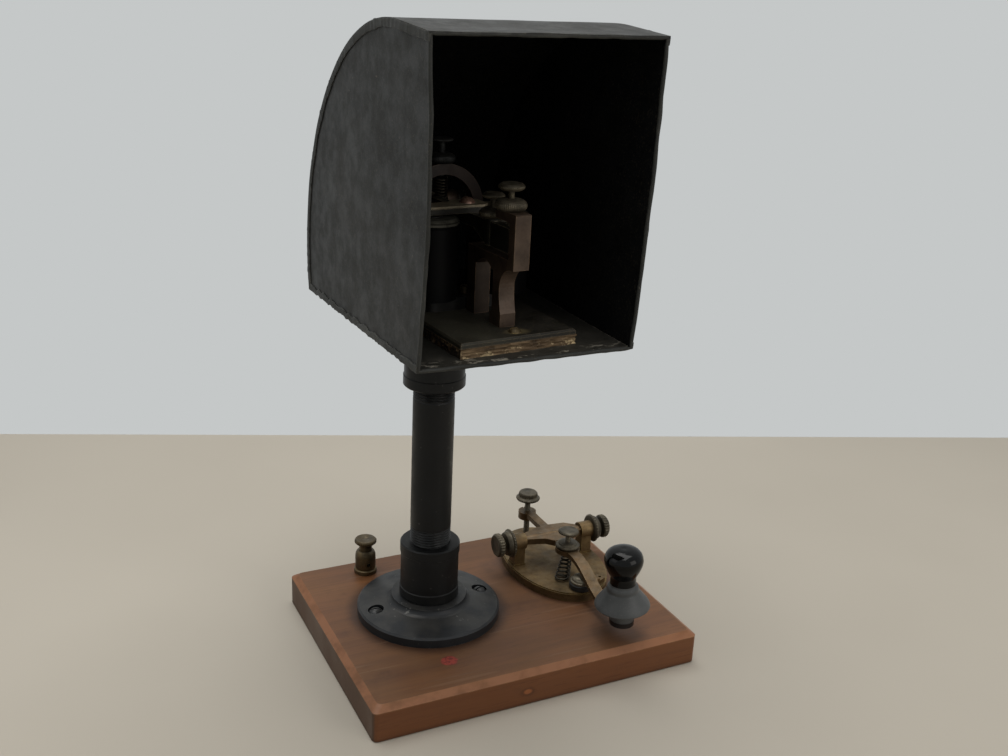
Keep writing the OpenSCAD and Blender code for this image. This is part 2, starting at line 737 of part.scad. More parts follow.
// Lever of the key: cross plate, front strap that sweeps down, rear arm and clamp
module key_lever() {
    plate_z = arbor_h - 1.4;
    pad_r = 8.15;
    spring_pad_r = 8.6;
    clamp_boss_r = 6.6;
    bend = 22;
    color("#7d6a49") in_key() difference() {
        union() {
            translate([0, 0, plate_z]) linear_extrude(strap_top + 0.4 - plate_z)
                polygon([[-barrel_l / 2, -4.2], [-barrel_l / 2, 4.2], [-8, 9.6], [3, 11],
                    [15, 9.8], [barrel_l / 2, 4.2], [barrel_l / 2, -4.2], [12, -8.6],
                    [strap_w / 2, -13], [-strap_w / 2, -13], [-9, -7.8]]);
            translate([-barrel_l / 2, 0, arbor_h]) along_x() cylinder(r = 3.6, h = barrel_l);
            translate([-strap_w / 2, 0, 0]) rotate([90, 0, 90]) linear_extrude(strap_w)
                polygon(concat([[-9, strap_top]],
                    [for (i = [0:bend])
                        let (y = -strap_bend_y - (strap_low_y - strap_bend_y) * i / bend)
                        [y, strap_z(y)]],
                    [[-knob_y, strap_low_top], [-knob_y, strap_low_top - strap_t]],
                    [for (i = [bend:-1:0])
                        let (y = -strap_bend_y - (strap_low_y - strap_bend_y) * i / bend)
                        [y, strap_z(y) - strap_t]],
                    [[-9, strap_top - strap_t]]));
            translate([0, -knob_y, strap_low_top - strap_t]) cylinder(r = pad_r, h = strap_t);
            translate([0, -spring_screw_y, strap_top - strap_t]) cylinder(r = spring_pad_r, h = strap_t);
            translate([-3.2, 7, plate_z]) cube([6.4, gap_screw_y - 9, strap_top - plate_z]);
            translate([0, gap_screw_y, plate_z - 2.2])
                cylinder(r = clamp_boss_r, h = strap_top - plate_z + 1.6);
        }
        translate([-barrel_l, 0, arbor_h]) along_x() cylinder(r = arbor_d / 2 + 0.02, h = 2 * barrel_l);
        translate([0, gap_screw_y, 0]) cylinder(r = gap_screw_d / 2 + turn_gap, h = 60);
        translate([-0.5, gap_screw_y, 0]) cube([1, 10, 60]);
        translate([-10, gap_screw_y + 4.4, strap_top - 3.2]) along_x() cylinder(r = 1, h = 20);
        translate([0, -spring_screw_y, 0]) cylinder(r = spring_screw_d / 2 + turn_gap, h = 60);
        translate([0, -contact_y, 0])
            cylinder(r = hammer_r + 0.02, h = strap_z(-contact_y) - strap_t + 1.2);
        translate([0, -knob_y, 0]) cylinder(r = 2.5, h = 60);
    }
}

module key_arbor() {
    shoulder = post_in_x - 0.2;
    color("#55524c") in_key() translate([0, 0, arbor_h]) for (s = [-1, 1])
        mirror([s < 0 ? 1 : 0, 0, 0]) along_x() union() {
            cylinder(d = arbor_d, h = shoulder);
            translate([0, 0, shoulder - e]) cylinder(d = pivot_d, h = 2.4);
        }
}

// Ball and neck of the knob, turned in hard rubber, with the screw that holds it
module key_knob() {
    r = knob_d / 2;
    screw_r = 2.4;
    washer_r = 4.2;
    washer_t = 1.4;
    neck_foot_r = 11.4;
    neck_r = 8.4;
    neck_h = 5.6;
    crown = 0.8;
    pit_r = 4.2;
    pit_h = 0.9;
    color("#0d0e10") in_key() translate([0, -knob_y, 0]) rotate_extrude() polygon(concat(
        [[0, strap_low_top - strap_t - washer_t], [washer_r, strap_low_top - strap_t - washer_t],
            [washer_r, strap_low_top - strap_t], [screw_r, strap_low_top - strap_t],
            [screw_r, skirt_top_z], [neck_foot_r, skirt_top_z]],
        [for (i = [1:5]) let (f = i / 5)
            [neck_foot_r + (neck_r - neck_foot_r) * sin(90 * f), skirt_top_z + neck_h * f]],
        [[neck_r + 0.35, (skirt_top_z + neck_h + ball_z - r * 0.62) / 2 + 0.5]],
        [for (i = [0:14]) let (a = -38 + i * 8)
            [r * cos(a), ball_z + r * sin(a) * (a > 0 ? crown : 0.98)]],
        [[pit_r, ball_z + r * crown], [pit_r * 0.6, ball_z + r * crown - pit_h],
            [0, ball_z + r * crown - pit_h]]));
}

// Flared finger skirt under the knob
module key_skirt() {
    r = skirt_d / 2;
    bore_r = 2.45;
    boss_r = 7.9;
    top_r = 11.6;
    rim_t = 1.4;
    flare = [for (i = [0:8]) let (f = i / 8)
        [r - 0.5 + (top_r - r + 0.5) * f - 0.9 * sin(180 * f),
            rim_z + 1 + (skirt_h - 1.6) * f]];
    color("#1c1e20") in_key() translate([0, -knob_y, 0]) rotate_extrude() polygon(concat(
        [[bore_r, strap_low_top], [boss_r, strap_low_top], [boss_r, rim_z + skirt_h * 0.4],
            [r - 3, rim_z + 0.2], [r - 1.6, rim_z - rim_t / 3], [r - 0.5, rim_z - rim_t / 3],
            [r, rim_z], [r, rim_z + rim_t / 3]], flare,
        [[top_r, skirt_top_z - 0.2], [top_r - 0.3, skirt_top_z], [bore_r, skirt_top_z]]));
}

module key_hammer_contact() {
    z = strap_z(-contact_y) - strap_t;
    color("#b9b4a6") in_key() translate([0, -contact_y, z - hammer_l])
        cylinder(r = hammer_r, h = hammer_l + 1.1);
}

// Cross screw that closes the split boss on the gap screw
module key_clamp_screw() {
    color("#5d5340") in_key() translate([0, gap_screw_y + 4.4, strap_top - 3.2])
        translate([-4.6, 0, 0]) along_x() cylinder(r = 0.95, h = 9.2);
}

contact_x = -0.8;
insulator_d = 16.6;
insulator_t = 4.2;
anvil_contact_d = 15.4;

module contact_insulator() {
    color("#141414") in_key() translate([contact_x, -contact_y, key_base_t])
        ring(insulator_d, insulator_t, 4.2, 0.5);
}

module anvil_contact() {
    z = key_base_t + insulator_t;
    r = anvil_contact_d / 2;
    disc_t = 1.9;
    dome_z = contact_top - 1.2;
    tip_r = 2;
    color("#3f3a30") in_key() translate([contact_x, -contact_y, 0]) rotate_extrude() polygon(concat(
        [[0, key_base_t + 0.2], [2, key_base_t + 0.2], [2, z], [r - 0.3, z], [r, z + 0.4],
            [r, z + disc_t - 0.4], [r - 0.6, z + disc_t]],
        [for (i = [0:6]) let (a = 15 * i)
            [tip_r + (r - 1 - tip_r) * cos(a), z + disc_t + (dome_z - z - disc_t) * sin(a)]],
        [[tip_r, contact_top], [0, contact_top]]));
}

// Fixed contact for a circuit closer at the front right of the key's base
module closer_contact() {
    color("#857a52") in_key() translate([13.2, -45.4, key_base_t]) rotate([0, 0, 24])
        difference() {
            union() {
                translate([-4.8, -3.5, 0]) cube([9.6, 7, 3]);
                translate([-4.8, -3.5, 0]) cube([3.4, 7, 5]);
            }
            for (x = [0.2, 3.2]) translate([x, 0, 1]) cylinder(d = 2.4, h = 5);
        }
}

// Gap screw at the back of the lever, with a two-step head; its tip stands on the base
module key_gap_screw() {
    r = gap_screw_d / 2;
    neck_r = 2;
    low_r = 9;
    high_r = 7;
    high_t = 3.4;
    head_z = strap_top + 8.2;
    step_z = head_z + 3.4;
    color("#4b463d") in_key() translate([0, gap_screw_y, 0]) rotate_extrude() polygon([
        [0, key_base_t + stop_gap], [r - 0.6, key_base_t + stop_gap],
        [r, key_base_t + stop_gap + 0.8], [r, head_z - 2], [neck_r, head_z - 1.2],
        [neck_r, head_z - 0.6], [low_r / 2, head_z], [low_r - 0.6, head_z + 0.8],
        [low_r, head_z + 1.6], [low_r, head_z + 2.4], [low_r - 1.2, head_z + 3],
        [high_r, step_z], [high_r, step_z + high_t - 0.8], [high_r - 0.8, step_z + high_t],
        [0, step_z + high_t]]);
}

module key_spring_screw() {
    r = spring_screw_d / 2;
    head_z = strap_top + 10.8;
    color("#504a40") in_key() translate([0, -spring_screw_y, 0]) rotate_extrude() polygon([
        [0, spring_top_z], [r, spring_top_z], [r, head_z], [5.6, head_z + 0.2],
        [7.3, head_z + 1], [7.3, head_z + 1.9], [6, head_z + 2.8], [0, head_z + 2.9]]);
}

spring_top_z = strap_top - strap_t - 3.4;

module key_spring_nut() {
    r = spring_screw_d / 2 + turn_gap;
    z = strap_top + seat_gap + 0.4;
    low_r = 8.7;
    high_r = 6.8;
    t = spring_nut_t;
    color("#554d41") in_key() translate([0, -spring_screw_y, z]) rotate_extrude() polygon([
        [r, 0], [low_r - 1.1, 0], [low_r, 0.9], [low_r, t - 2.8], [low_r - 0.9, t - 2],
        [high_r, t - 1.9], [high_r - 0.4, t - 0.7], [high_r / 2, t], [r, t]]);
}

key_spring_lean = [-8.4, -9.6];

// Compression spring between the spring screw and the base; it has slipped to one side
module key_spring() {
    low = [key_spring_lean[0], -spring_screw_y + key_spring_lean[1], key_base_t + 0.03];
    high = [0, -spring_screw_y, spring_top_z - 0.05];
    color("#3b3833") in_key() spring(low, high, key_spring_r,
        key_spring_top_r, key_spring_wire, key_spring_turns);
}

// Hollow-ended screw on which the arbor turns, pointing inwards along -X
module trunnion_screw(s) {
    r = trunnion_d / 2;
    tip = post_in_x - 0.1;
    head = nut_in_x + trunnion_nut_t + trunnion_neck;
    color("#3d3833") in_key() translate([0, 0, arbor_h]) mirror([s < 0 ? 1 : 0, 0, 0])
        along_x() difference() {
            rotate_extrude() polygon([[0, tip], [r, tip], [r, nut_in_x + trunnion_nut_t + 0.4],
                [4.2, nut_in_x + trunnion_nut_t + 0.9], [3.6, head - 1.6], [4.6, head - 0.4],
                [trunnion_head_d / 2 - 1.1, head], [trunnion_head_d / 2, head + 0.8],
                [trunnion_head_d / 2, head + trunnion_head_t - 1.2],
                [trunnion_head_d / 2 - 1.2, head + trunnion_head_t], [0, head + trunnion_head_t]]);
            translate([0, 0, tip - e]) cylinder(d = pivot_d + 2 * turn_gap, h = 3);
        }
}

module trunnion_nut(s) {
    r = trunnion_d / 2 + turn_gap;
    big = trunnion_nut_d / 2;
    color("#413b35") in_key() translate([0, 0, arbor_h]) mirror([s < 0 ? 1 : 0, 0, 0])
        along_x() rotate_extrude() polygon([[r, nut_in_x], [big - 1.2, nut_in_x],
            [big, nut_in_x + 1], [big, nut_in_x + 1.8], [big - 1.4, nut_in_x + 2.3],
            [big - 1.4, nut_in_x + 3.6], [big - 2.4, nut_in_x + trunnion_nut_t],
            [r, nut_in_x + trunnion_nut_t]]);
}

module trunnion_screw_left() {
    trunnion_screw(-1);
}

module trunnion_screw_right() {
    trunnion_screw(1);
}

module trunnion_nut_left() {
    trunnion_nut(-1);
}

module trunnion_nut_right() {
    trunnion_nut(1);
}

terminal_x = 25;
bed_screw_places = [[-0.5, 6.4], [-14, bed_l - 8]];

// World point to the sounder's own frame, on the floor
function to_sounder(p) =
    let (d = p - [sounder_x, sounder_y])
    [d[0] * cos(sounder_yaw) + d[1] * sin(sounder_yaw), -d[0] * sin(sounder_yaw) + d[1] * cos(sounder_yaw)];

module sounder_base() {
    color("#6a4a30") in_sounder() difference() {
        translate([bed_cx - bed_w / 2, bed_front, 0]) cube([bed_w, bed_l, bed_wood_t]);
        for (p = bed_screw_places) translate([p[0], p[1], 1])
            cylinder(d = 3, h = bed_wood_t);
        for (s = [-1, 1]) translate(concat(to_sounder([stand_x, stand_y + s * flange_screw_span / 2]), -e))
            cylinder(d = flange_screw_d + 0.02, h = bed_wood_t - 0.4);
    }
}

module bed_plate() {
    inset = 0.6;
    color("#332f2a") in_sounder() difference() {
        hull() {
            translate([bed_cx - bed_w / 2 + inset, bed_front + inset, bed_wood_t])
                cube([bed_w - 2 * inset, bed_l - 2 * inset, bed_plate_t - 1]);
            translate([bed_cx - bed_w / 2 + inset + 1, bed_front + inset + 1, bed_wood_t])
                cube([bed_w - 2 * inset - 2, bed_l - 2 * inset - 2, bed_plate_t]);
        }
        for (p = bed_screw_places) translate([p[0], p[1], 0]) cylinder(d = 3.04, h = bed_top + 1);
    }
}

module bed_screws() {
    color("#8c7a56") in_sounder() for (p = bed_screw_places) translate([p[0], p[1], bed_top])
        difference() {
            union() {
                round_head(7.6, 2.4);
                translate([0, 0, -bed_top + 1.4]) cylinder(d = 3, h = bed_top - 1.4);
            }
            translate([-4, -0.4, 1.4]) cube([8, 0.8, 2]);
        }
}

// Cast bridge: curved neck, upright slab with the top arm, crossbar and rear leg
module anvil_bridge() {
    neck_back = 25;
    foot_y = 15.4;
    foot_h = 7.6;
    throat_y = 17.8;
    throat_r = 12.5;
    leg_y0 = 44.5;
    leg_y1 = 53.5;
    bar_low = anvil_bar_z - 9;
    slab_low = bar_low + 4.2;
    window_r = (leg_y0 - neck_back) / 2;
    arm_end = 25;
    color("#57493a") in_sounder() translate([-anvil_w / 2, 0, 0]) difference() {
        rotate([90, 0, 90]) linear_extrude(anvil_w) difference() {
            polygon(concat([[leg_y0, bed_top], [leg_y1, bed_top], [leg_y1, anvil_bar_z],
                [slab_back, anvil_bar_z], [slab_back, slab_z - arm_t - 1.6],
                [slab_back + 1.6, slab_z - arm_t], [arm_end, slab_z - arm_t], [arm_end, slab_z],
                [slab_y + 0.6, slab_z], [slab_y, slab_z - 0.6], [slab_y, slab_low]],
                [for (i = [0:8]) let (a = 90 - 11.25 * i)
                    [throat_y - throat_r + throat_r * cos(a), slab_low - throat_r + throat_r * sin(a)]],
                [for (i = [1:6]) let (f = i / 6)
                    [throat_y - (throat_y - foot_y) * f * f,
                        slab_low - throat_r - (slab_low - throat_r - bed_top - foot_h) * f]],
                [[foot_y, bed_top], [neck_back + 2, bed_top], [neck_back + 2, bed_top + 6],
                    [neck_back, bed_top + 8], [neck_back, bar_low], [leg_y0, bar_low]]));
            translate([(neck_back + leg_y0) / 2, bar_low + 4 - window_r]) circle(r = window_r);
        }
        translate([anvil_w / 2, upper_stop_y, slab_z - arm_t - 1])
            cylinder(r = stop_screw_d / 2 + turn_gap, h = arm_t + 2);
    }
}

heel_w = 13;
heel_screw_x = -1.6;
heel_head_d = 6.6;
heel_head_h = 4.6;

module magnet_heel() {
    color("#3a3835") in_sounder() difference() {
        union() {
            translate([-coil_pitch / 2, coil_y - heel_w / 2, bed_top])
                cube([coil_pitch, heel_w, heel_t]);
            for (s = [-1, 1]) translate([s * coil_pitch / 2, coil_y, bed_top])
                cylinder(d = heel_w, h = heel_t);
        }
        for (s = [-1, 1]) translate([s * coil_pitch / 2, coil_y, bed_top - e])
            cylinder(d = core_d * 0.6, h = heel_t + 2 * e);
        translate([heel_screw_x, coil_y, bed_top - e]) cylinder(d = 3.5, h = heel_t + 2 * e);
    }
}

// Soft-iron cores: each is stepped down where it goes through the heel bar
module magnet_cores() {
    color("#6f6c66") in_sounder() for (s = [-1, 1]) translate([s * coil_pitch / 2, coil_y, 0])
        union() {
            translate([0, 0, bed_top]) cylinder(d = core_d * 0.6, h = heel_t + e);
            translate([0, 0, coil_z0]) cylinder(d = core_d, h = pole_z - coil_z0);
        }
}

module heel_screw() {
    color("#8b8350") in_sounder() translate([heel_screw_x, coil_y, bed_top]) {
        cylinder(d = 3.46, h = heel_t);
        translate([0, 0, heel_t]) difference() {
            disc(heel_head_d, heel_head_h, 0.6);
            translate([-heel_head_d, -0.5, heel_head_h - 1.4]) cube([2 * heel_head_d, 1, 2]);
        }
    }
}

winding_d = coil_d - 4;

module coil_windings() {
    color("#5a2f20") in_sounder() for (s = [-1, 1])
        translate([s * coil_pitch / 2, coil_y, coil_z0]) rotate_extrude() {
            translate([core_d / 2 + 0.02, 0])
                square([winding_d / 2 - core_d / 2 - 0.02, cover_top - coil_z0 - 2.6]);
        }
}

// Ebonite tube and cap over each winding; the pole shows through the cap
module coil_covers() {
    r = coil_d / 2;
    h = cover_top - coil_z0;
    in_r = winding_d / 2 + 0.05;
    color("#121212") in_sounder() for (s = [-1, 1])
        translate([s * coil_pitch / 2, coil_y, coil_z0]) rotate_extrude()
            polygon([[in_r, 0], [r - 0.3, 0], [r - 0.3, h - 5], [r - 0.9, h - 4.4],
                [r - 0.9, h - 4], [r, h - 3.4], [r, h - 1.6], [r - 1.6, h],
                [core_d / 2 + 0.1, h], [core_d / 2 + 0.1, h - 2.5], [in_r, h - 2.5]]);
}

sounder_arbor_d = 4;
lever_end_y = slab_back + 0.5;
beam_back_y = 52;

module sounder_lever() {
    thin_z = lever_z1 - lever_thin;
    color("#5b5238") in_sounder() difference() {
        union() {
            translate([-lever_w / 2, 0, 0]) rotate([90, 0, 90]) linear_extrude(lever_w)
                polygon([[lever_end_y, lever_z0], [beam_back_y - 14, lever_z0],
                    [beam_back_y, thin_z], [lever_arbor_y, thin_z], [lever_arbor_y, lever_z1],
                    [lever_end_y, lever_z1]]);
            translate([-lever_w / 2, lever_arbor_y, lever_axis_z]) along_x()
                cylinder(d = 9.6, h = lever_w);
            translate([0, lower_stop_y, lever_z0]) cylinder(d = 8, h = lever_deep + lever_collar_h);
        }
        translate([-lever_w, lever_arbor_y, lever_axis_z]) along_x()
            cylinder(d = sounder_arbor_d + 0.04, h = 2 * lever_w);
        translate([0, lower_stop_y, 0]) cylinder(r = stop_screw_d / 2 + turn_gap, h = 200);
        translate([0, armature_screw_y, lever_z1 - 4]) cylinder(d = 3, h = 5);
    }
}

module sounder_arbor() {
    shoulder = bracket_in_x - 1;
    color("#6b6862") in_sounder() translate([0, lever_arbor_y, lever_axis_z])
        for (s = [-1, 1]) mirror([s < 0 ? 1 : 0, 0, 0]) along_x() union() {
            cylinder(d = sounder_arbor_d, h = shoulder);
            translate([0, 0, shoulder - e]) cylinder(d = 2, h = 2.2);
        }
}

armature_w = 14;
armature_l = coil_pitch + 11;

// Soft-iron armature across the lever, with a brass strap on its left half
module armature() {
    strap_end = 10;
    color("#7a6f52") in_sounder() difference() {
        union() {
            translate([-armature_l / 2, armature_cy - armature_w / 2, lever_z1])
                cube([armature_l, armature_w, armature_t]);
            translate([0, armature_cy, lever_z1 + armature_t - e]) linear_extrude(1.2)
                polygon([[-armature_l / 2 - 1, -4], [-armature_l / 2 + 3, -6], [strap_end - 3, -6],
                    [strap_end, -3.6], [strap_end, 8], [strap_end - 4, 11], [-6, 11], [-10, 7],
                    [-armature_l / 2 + 3, 6], [-armature_l / 2 - 1, 4]]);
        }
        translate([0, armature_screw_y, lever_z1 - 1]) cylinder(d = 3.04, h = armature_t + 4);
    }
}

module armature_screw() {
    color("#a06c4a") in_sounder() translate([0, armature_screw_y, lever_z1 + armature_t + 1.2 - e]) {
        round_head(9.2, 3.2);
        translate([0, 0, -armature_t - 1.2 - 3.8]) cylinder(d = 2.96, h = armature_t + 5);
    }
}

pivot_screw_d = 5;
bracket_d = 11;

// Two uprights that carry the pivot screws of the lever
module pivot_bracket() {
    color("#5f5440") in_sounder() translate([0, lever_arbor_y, 0]) difference() {
        union() {
            translate([-bracket_out_x, -bracket_d / 2 - 1.5, bed_top])
                cube([2 * bracket_out_x, bracket_d + 3, 5]);
            for (s = [-1, 1]) mirror([s < 0 ? 1 : 0, 0, 0]) {
                translate([bracket_in_x, -bracket_d / 2, bed_top])
                    cube([bracket_out_x - bracket_in_x, bracket_d, lever_axis_z - bed_top]);
                translate([bracket_in_x, 0, lever_axis_z]) along_x()
                    cylinder(d = bracket_d, h = bracket_out_x - bracket_in_x);
            }
        }
        translate([-bracket_out_x - 1, 0, lever_axis_z]) along_x()
            cylinder(d = pivot_screw_d + 0.04, h = 2 * bracket_out_x + 2);
    }
}

// Slotted pivot screws with round lock nuts
module pivot_screws() {
    tip = bracket_in_x - 0.5;
    nut = bracket_out_x;
    color("#4a443a") in_sounder() translate([0, lever_arbor_y, lever_axis_z])
        for (s = [-1, 1]) mirror([s < 0 ? 1 : 0, 0, 0]) along_x() difference() {
            rotate_extrude() polygon([[0, tip], [pivot_screw_d / 2, tip], [pivot_screw_d / 2, nut],
                [6.2, nut], [6.6, nut + 0.5], [6.6, nut + 2.6], [6.2, nut + 3.1], [2.5, nut + 3.1],
                [2.5, nut + 4], [4.4, nut + 4.3], [4.4, nut + 6.4], [4, nut + 6.9], [0, nut + 6.9]]);
            translate([0, 0, tip - e]) cylinder(d = 2 + 2 * turn_gap, h = 2.6);
            translate([-6, -0.5, nut + 5.7]) cube([12, 1, 2]);
        }
}

// Round arch over the lever, on two legs; the tension screw goes through its crown
module arch() {
    cz = arch_z - arch_r;
    color("#5a4c3f") in_sounder() translate([0, arch_y - arch_depth / 2, 0]) difference() {
        union() {
            translate([0, arch_depth, 0]) rotate([90, 0, 0]) linear_extrude(arch_depth)
                difference() {
                    union() {
                        translate([0, cz]) circle(r = arch_r, $fn = 96);
                        translate([-arch_r, bed_top]) square([2 * arch_r, cz - bed_top]);
                    }
                    translate([0, cz]) circle(r = arch_r - arch_band, $fn = 96);
                    translate([-arch_r + arch_band, bed_top - 1])
                        square([2 * (arch_r - arch_band), cz - bed_top + 1]);
                }
            for (s = [-1, 1]) translate([s * (arch_r - 2) - 5, 0, bed_top])
                cube([10, arch_depth, 3.4]);
            translate([0, arch_depth / 2, arch_z - arch_band])
                cylinder(d = arch_depth, h = arch_band);
        }
        translate([0, arch_depth / 2, arch_z - arch_band - 1])
            cylinder(r = tension_screw_d / 2 + turn_gap, h = arch_band + 4);
    }
}

// Thumb screw drawn along +Z, its head from z = head to head + t
module thumb_screw(d, tip, head, head_d, t) {
    r = d / 2;
    rotate_extrude() polygon([[0, tip], [r - 0.5, tip], [r, tip + 0.6], [r, head],
        [head_d / 2 - 1.6, head + 0.3], [head_d / 2 - 0.3, head + t * 0.3], [head_d / 2, head + t * 0.45],
        [head_d / 2, head + t * 0.65], [head_d / 2 - 1.3, head + t - 0.3], [head_d / 2 - 2.4, head + t],
        [0, head + t]]);
}

module thumb_nut(d, bore_r, t) {
    rotate_extrude() polygon([[bore_r, 0], [d / 2 - 1.6, 0], [d / 2 - 0.3, t * 0.2], [d / 2, t * 0.35],
        [d / 2, t * 0.55], [d / 2 - 0.5, t * 0.72], [d / 2 - 1.8, t * 0.88], [4.4, t], [bore_r, t]]);
}

module upper_stop_screw() {
    color("#6d675a") in_sounder() translate([0, upper_stop_y, 0])
        thumb_screw(stop_screw_d, lever_z1 + stop_gap, slab_z + 10.6, 14.5, 4.2);
}

module upper_stop_nut() {
    color("#6a6457") in_sounder() translate([0, upper_stop_y, slab_z + seat_gap])
        thumb_nut(17.6, stop_screw_d / 2 + turn_gap, upper_nut_t);
}

module lower_stop_screw() {
    color("#5d584c") in_sounder() translate([0, lower_stop_y, 0])
        thumb_screw(stop_screw_d, anvil_bar_z + lever_travel, lever_z1 + 11.8, 12.6, 3.6);
}

module lower_stop_nut() {
    color("#3f3b34") in_sounder() translate([0, lower_stop_y, lever_z1 + lever_collar_h + seat_gap])
        thumb_nut(15.4, stop_screw_d / 2 + turn_gap, lower_nut_t);
}

module tension_screw() {
    color("#4c4a44") in_sounder() translate([0, arch_y, 0])
        thumb_screw(tension_screw_d, tension_tip_z, arch_z + 12.2, 13.4, 2.6);
}

module tension_nut() {
    color("#45433d") in_sounder() translate([0, arch_y, arch_z + seat_gap])
        thumb_nut(16.4, tension_screw_d / 2 + turn_gap, tension_nut_t);
}

// Spring that lifts the lever towards the arch
module pull_spring() {
    color("#3d3b36") in_sounder() spring([0, arch_y, lever_z1 + 0.05],
        [0, arch_y, tension_tip_z - 0.05], pull_spring_r, pull_spring_r, pull_spring_wire,
        pull_spring_turns, pull_spring_wire);
}

// Two binding posts at the back of the sounder, each with its round nut
module sounder_terminals() {
    foot_r = 5;
    stud_r = 2;
    nut_r = 6;
    nut_z = 9;
    nut_t = 4;
    stud_h = nut_z + nut_t + 3;
    color("#6b5b40") in_sounder() for (s = [-1, 1])
        translate([s * terminal_x, bed_l - 11, bed_top]) rotate_extrude() polygon([[0, 0],
            [foot_r - 0.4, 0], [foot_r, 0.4], [foot_r, 2], [stud_r + 1.4, 2.6], [stud_r, 3],
            [stud_r, nut_z], [nut_r - 0.6, nut_z], [nut_r, nut_z + 0.6], [nut_r, nut_z + nut_t - 0.6],
            [nut_r - 0.6, nut_z + nut_t], [stud_r, nut_z + nut_t], [stud_r, stud_h - 0.6],
            [stud_r - 0.6, stud_h], [0, stud_h]]);
}

base_board();
floor_flange();
flange_screws();
lower_nipple();
lower_coupling();
stand_pipe();
upper_coupling();
upper_nipple();
upper_flange();
hood_floor();
hood_left_side();
hood_right_side();
hood_back();
hood_rim();
line_posts();
line_post_screw_left();
line_post_screw_right();
key_base();
key_leg_bolts();
key_lever();
key_arbor();
key_knob();
key_skirt();
key_hammer_contact();
key_clamp_screw();
contact_insulator();
anvil_contact();
closer_contact();
key_gap_screw();
key_spring_screw();
key_spring_nut();
key_spring();
trunnion_screw_left();
trunnion_screw_right();
trunnion_nut_left();
trunnion_nut_right();
sounder_base();
bed_plate();
bed_screws();
anvil_bridge();
magnet_heel();
magnet_cores();
heel_screw();
coil_windings();
coil_covers();
sounder_lever();
sounder_arbor();
armature();
armature_screw();
pivot_bracket();
pivot_screws();
arch();
upper_stop_screw();
upper_stop_nut();
lower_stop_screw();
lower_stop_nut();
tension_screw();
tension_nut();
pull_spring();
sounder_terminals();
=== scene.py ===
import json
import math
import bpy
import bmesh
from mathutils import Matrix, Vector, noise


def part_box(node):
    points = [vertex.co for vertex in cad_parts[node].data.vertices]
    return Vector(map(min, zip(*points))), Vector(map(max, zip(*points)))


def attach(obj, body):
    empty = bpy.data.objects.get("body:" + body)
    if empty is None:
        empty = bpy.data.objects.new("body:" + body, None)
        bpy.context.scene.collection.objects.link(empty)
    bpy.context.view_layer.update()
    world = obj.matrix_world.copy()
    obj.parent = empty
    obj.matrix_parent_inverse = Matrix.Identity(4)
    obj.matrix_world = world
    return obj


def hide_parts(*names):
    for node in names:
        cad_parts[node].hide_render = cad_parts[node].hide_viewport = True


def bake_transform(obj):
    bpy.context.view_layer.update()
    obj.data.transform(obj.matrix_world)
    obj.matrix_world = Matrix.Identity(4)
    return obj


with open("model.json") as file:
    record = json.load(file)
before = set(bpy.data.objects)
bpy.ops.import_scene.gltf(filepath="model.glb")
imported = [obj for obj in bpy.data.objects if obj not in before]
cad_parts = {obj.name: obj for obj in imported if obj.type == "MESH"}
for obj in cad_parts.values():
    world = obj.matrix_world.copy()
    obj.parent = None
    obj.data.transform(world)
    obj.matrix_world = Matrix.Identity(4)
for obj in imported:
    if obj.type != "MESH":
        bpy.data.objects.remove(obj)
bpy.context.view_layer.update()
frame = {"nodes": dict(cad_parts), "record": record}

MM = 0.001

# ---------------------------------------------------------------- sizes, as in the CAD
T = 23.4
KEY = Matrix.Translation((64.7, 31, T))
Z_FLOOR = 238.3
SND = Matrix.Translation((-34, -94, Z_FLOOR + 1)) @ Matrix.Rotation(math.radians(4.5), 4, "Z")
ARBOR = 23.0
STRAP_TOP = 25.6
BED = 8.4
LEVER1 = BED + 41.9 + 13.6
SLAB = BED + 64.6
ARCH = BED + 76.8
ARCH_Y = 98.5
UPPER_STOP_Y, LOWER_STOP_Y = 17.5, 36
STOP_D, TENSION_D = 3.8, 4.0
TENSION_TIP = ARCH - 6.4 - 1.5
TURN_GAP = 0.07
SPRING_Y, GAP_Y, KNOB_Y = -24, 39, -100
PIPE_X, PIPE_Y = -42, 5.2
PIPE_R, PIPE_BORE_R, PIPE_SEGS = 13.335, 10.47, 72
PIPE_IN = 15              # the pipe's ends stand this deep in their couplings
PIPE_PITCH, PIPE_THREAD = 1.814, 0.8
KNOT = (-12.3, -87, 9.6)
PAINT_DROP = (-53.0, -56.6, T)


# ---------------------------------------------------------------- mesh helpers
def make(name, verts, faces, mat, body, slot, replaces=(), smooth=35):
    mesh = bpy.data.meshes.new(name)
    mesh.from_pydata([tuple(c * MM for c in v) for v in verts], [], faces)
    mesh.validate()
    bm = bmesh.new()
    bm.from_mesh(mesh)
    bmesh.ops.recalc_face_normals(bm, faces=bm.faces)
    bm.to_mesh(mesh)
    bm.free()
    mesh.shade_smooth()
    if smooth:
        mesh.set_sharp_from_angle(angle=math.radians(smooth))
    obj = bpy.data.objects.new(name, mesh)
    bpy.context.scene.collection.objects.link(obj)
    mesh.materials.append(mat)
    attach(obj, body)
    if replaces:
        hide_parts(*replaces)
    return obj


def ring_faces(rows, cols, close_rows=False):
    out = []
    for i in range(rows - 1 + close_rows):
        for k in range(cols):
            a, b = i * cols + k, i * cols + (k + 1) % cols
            c, d = ((i + 1) % rows) * cols + (k + 1) % cols, ((i + 1) % rows) * cols + k
            out.append((a, b, c, d))
    return out


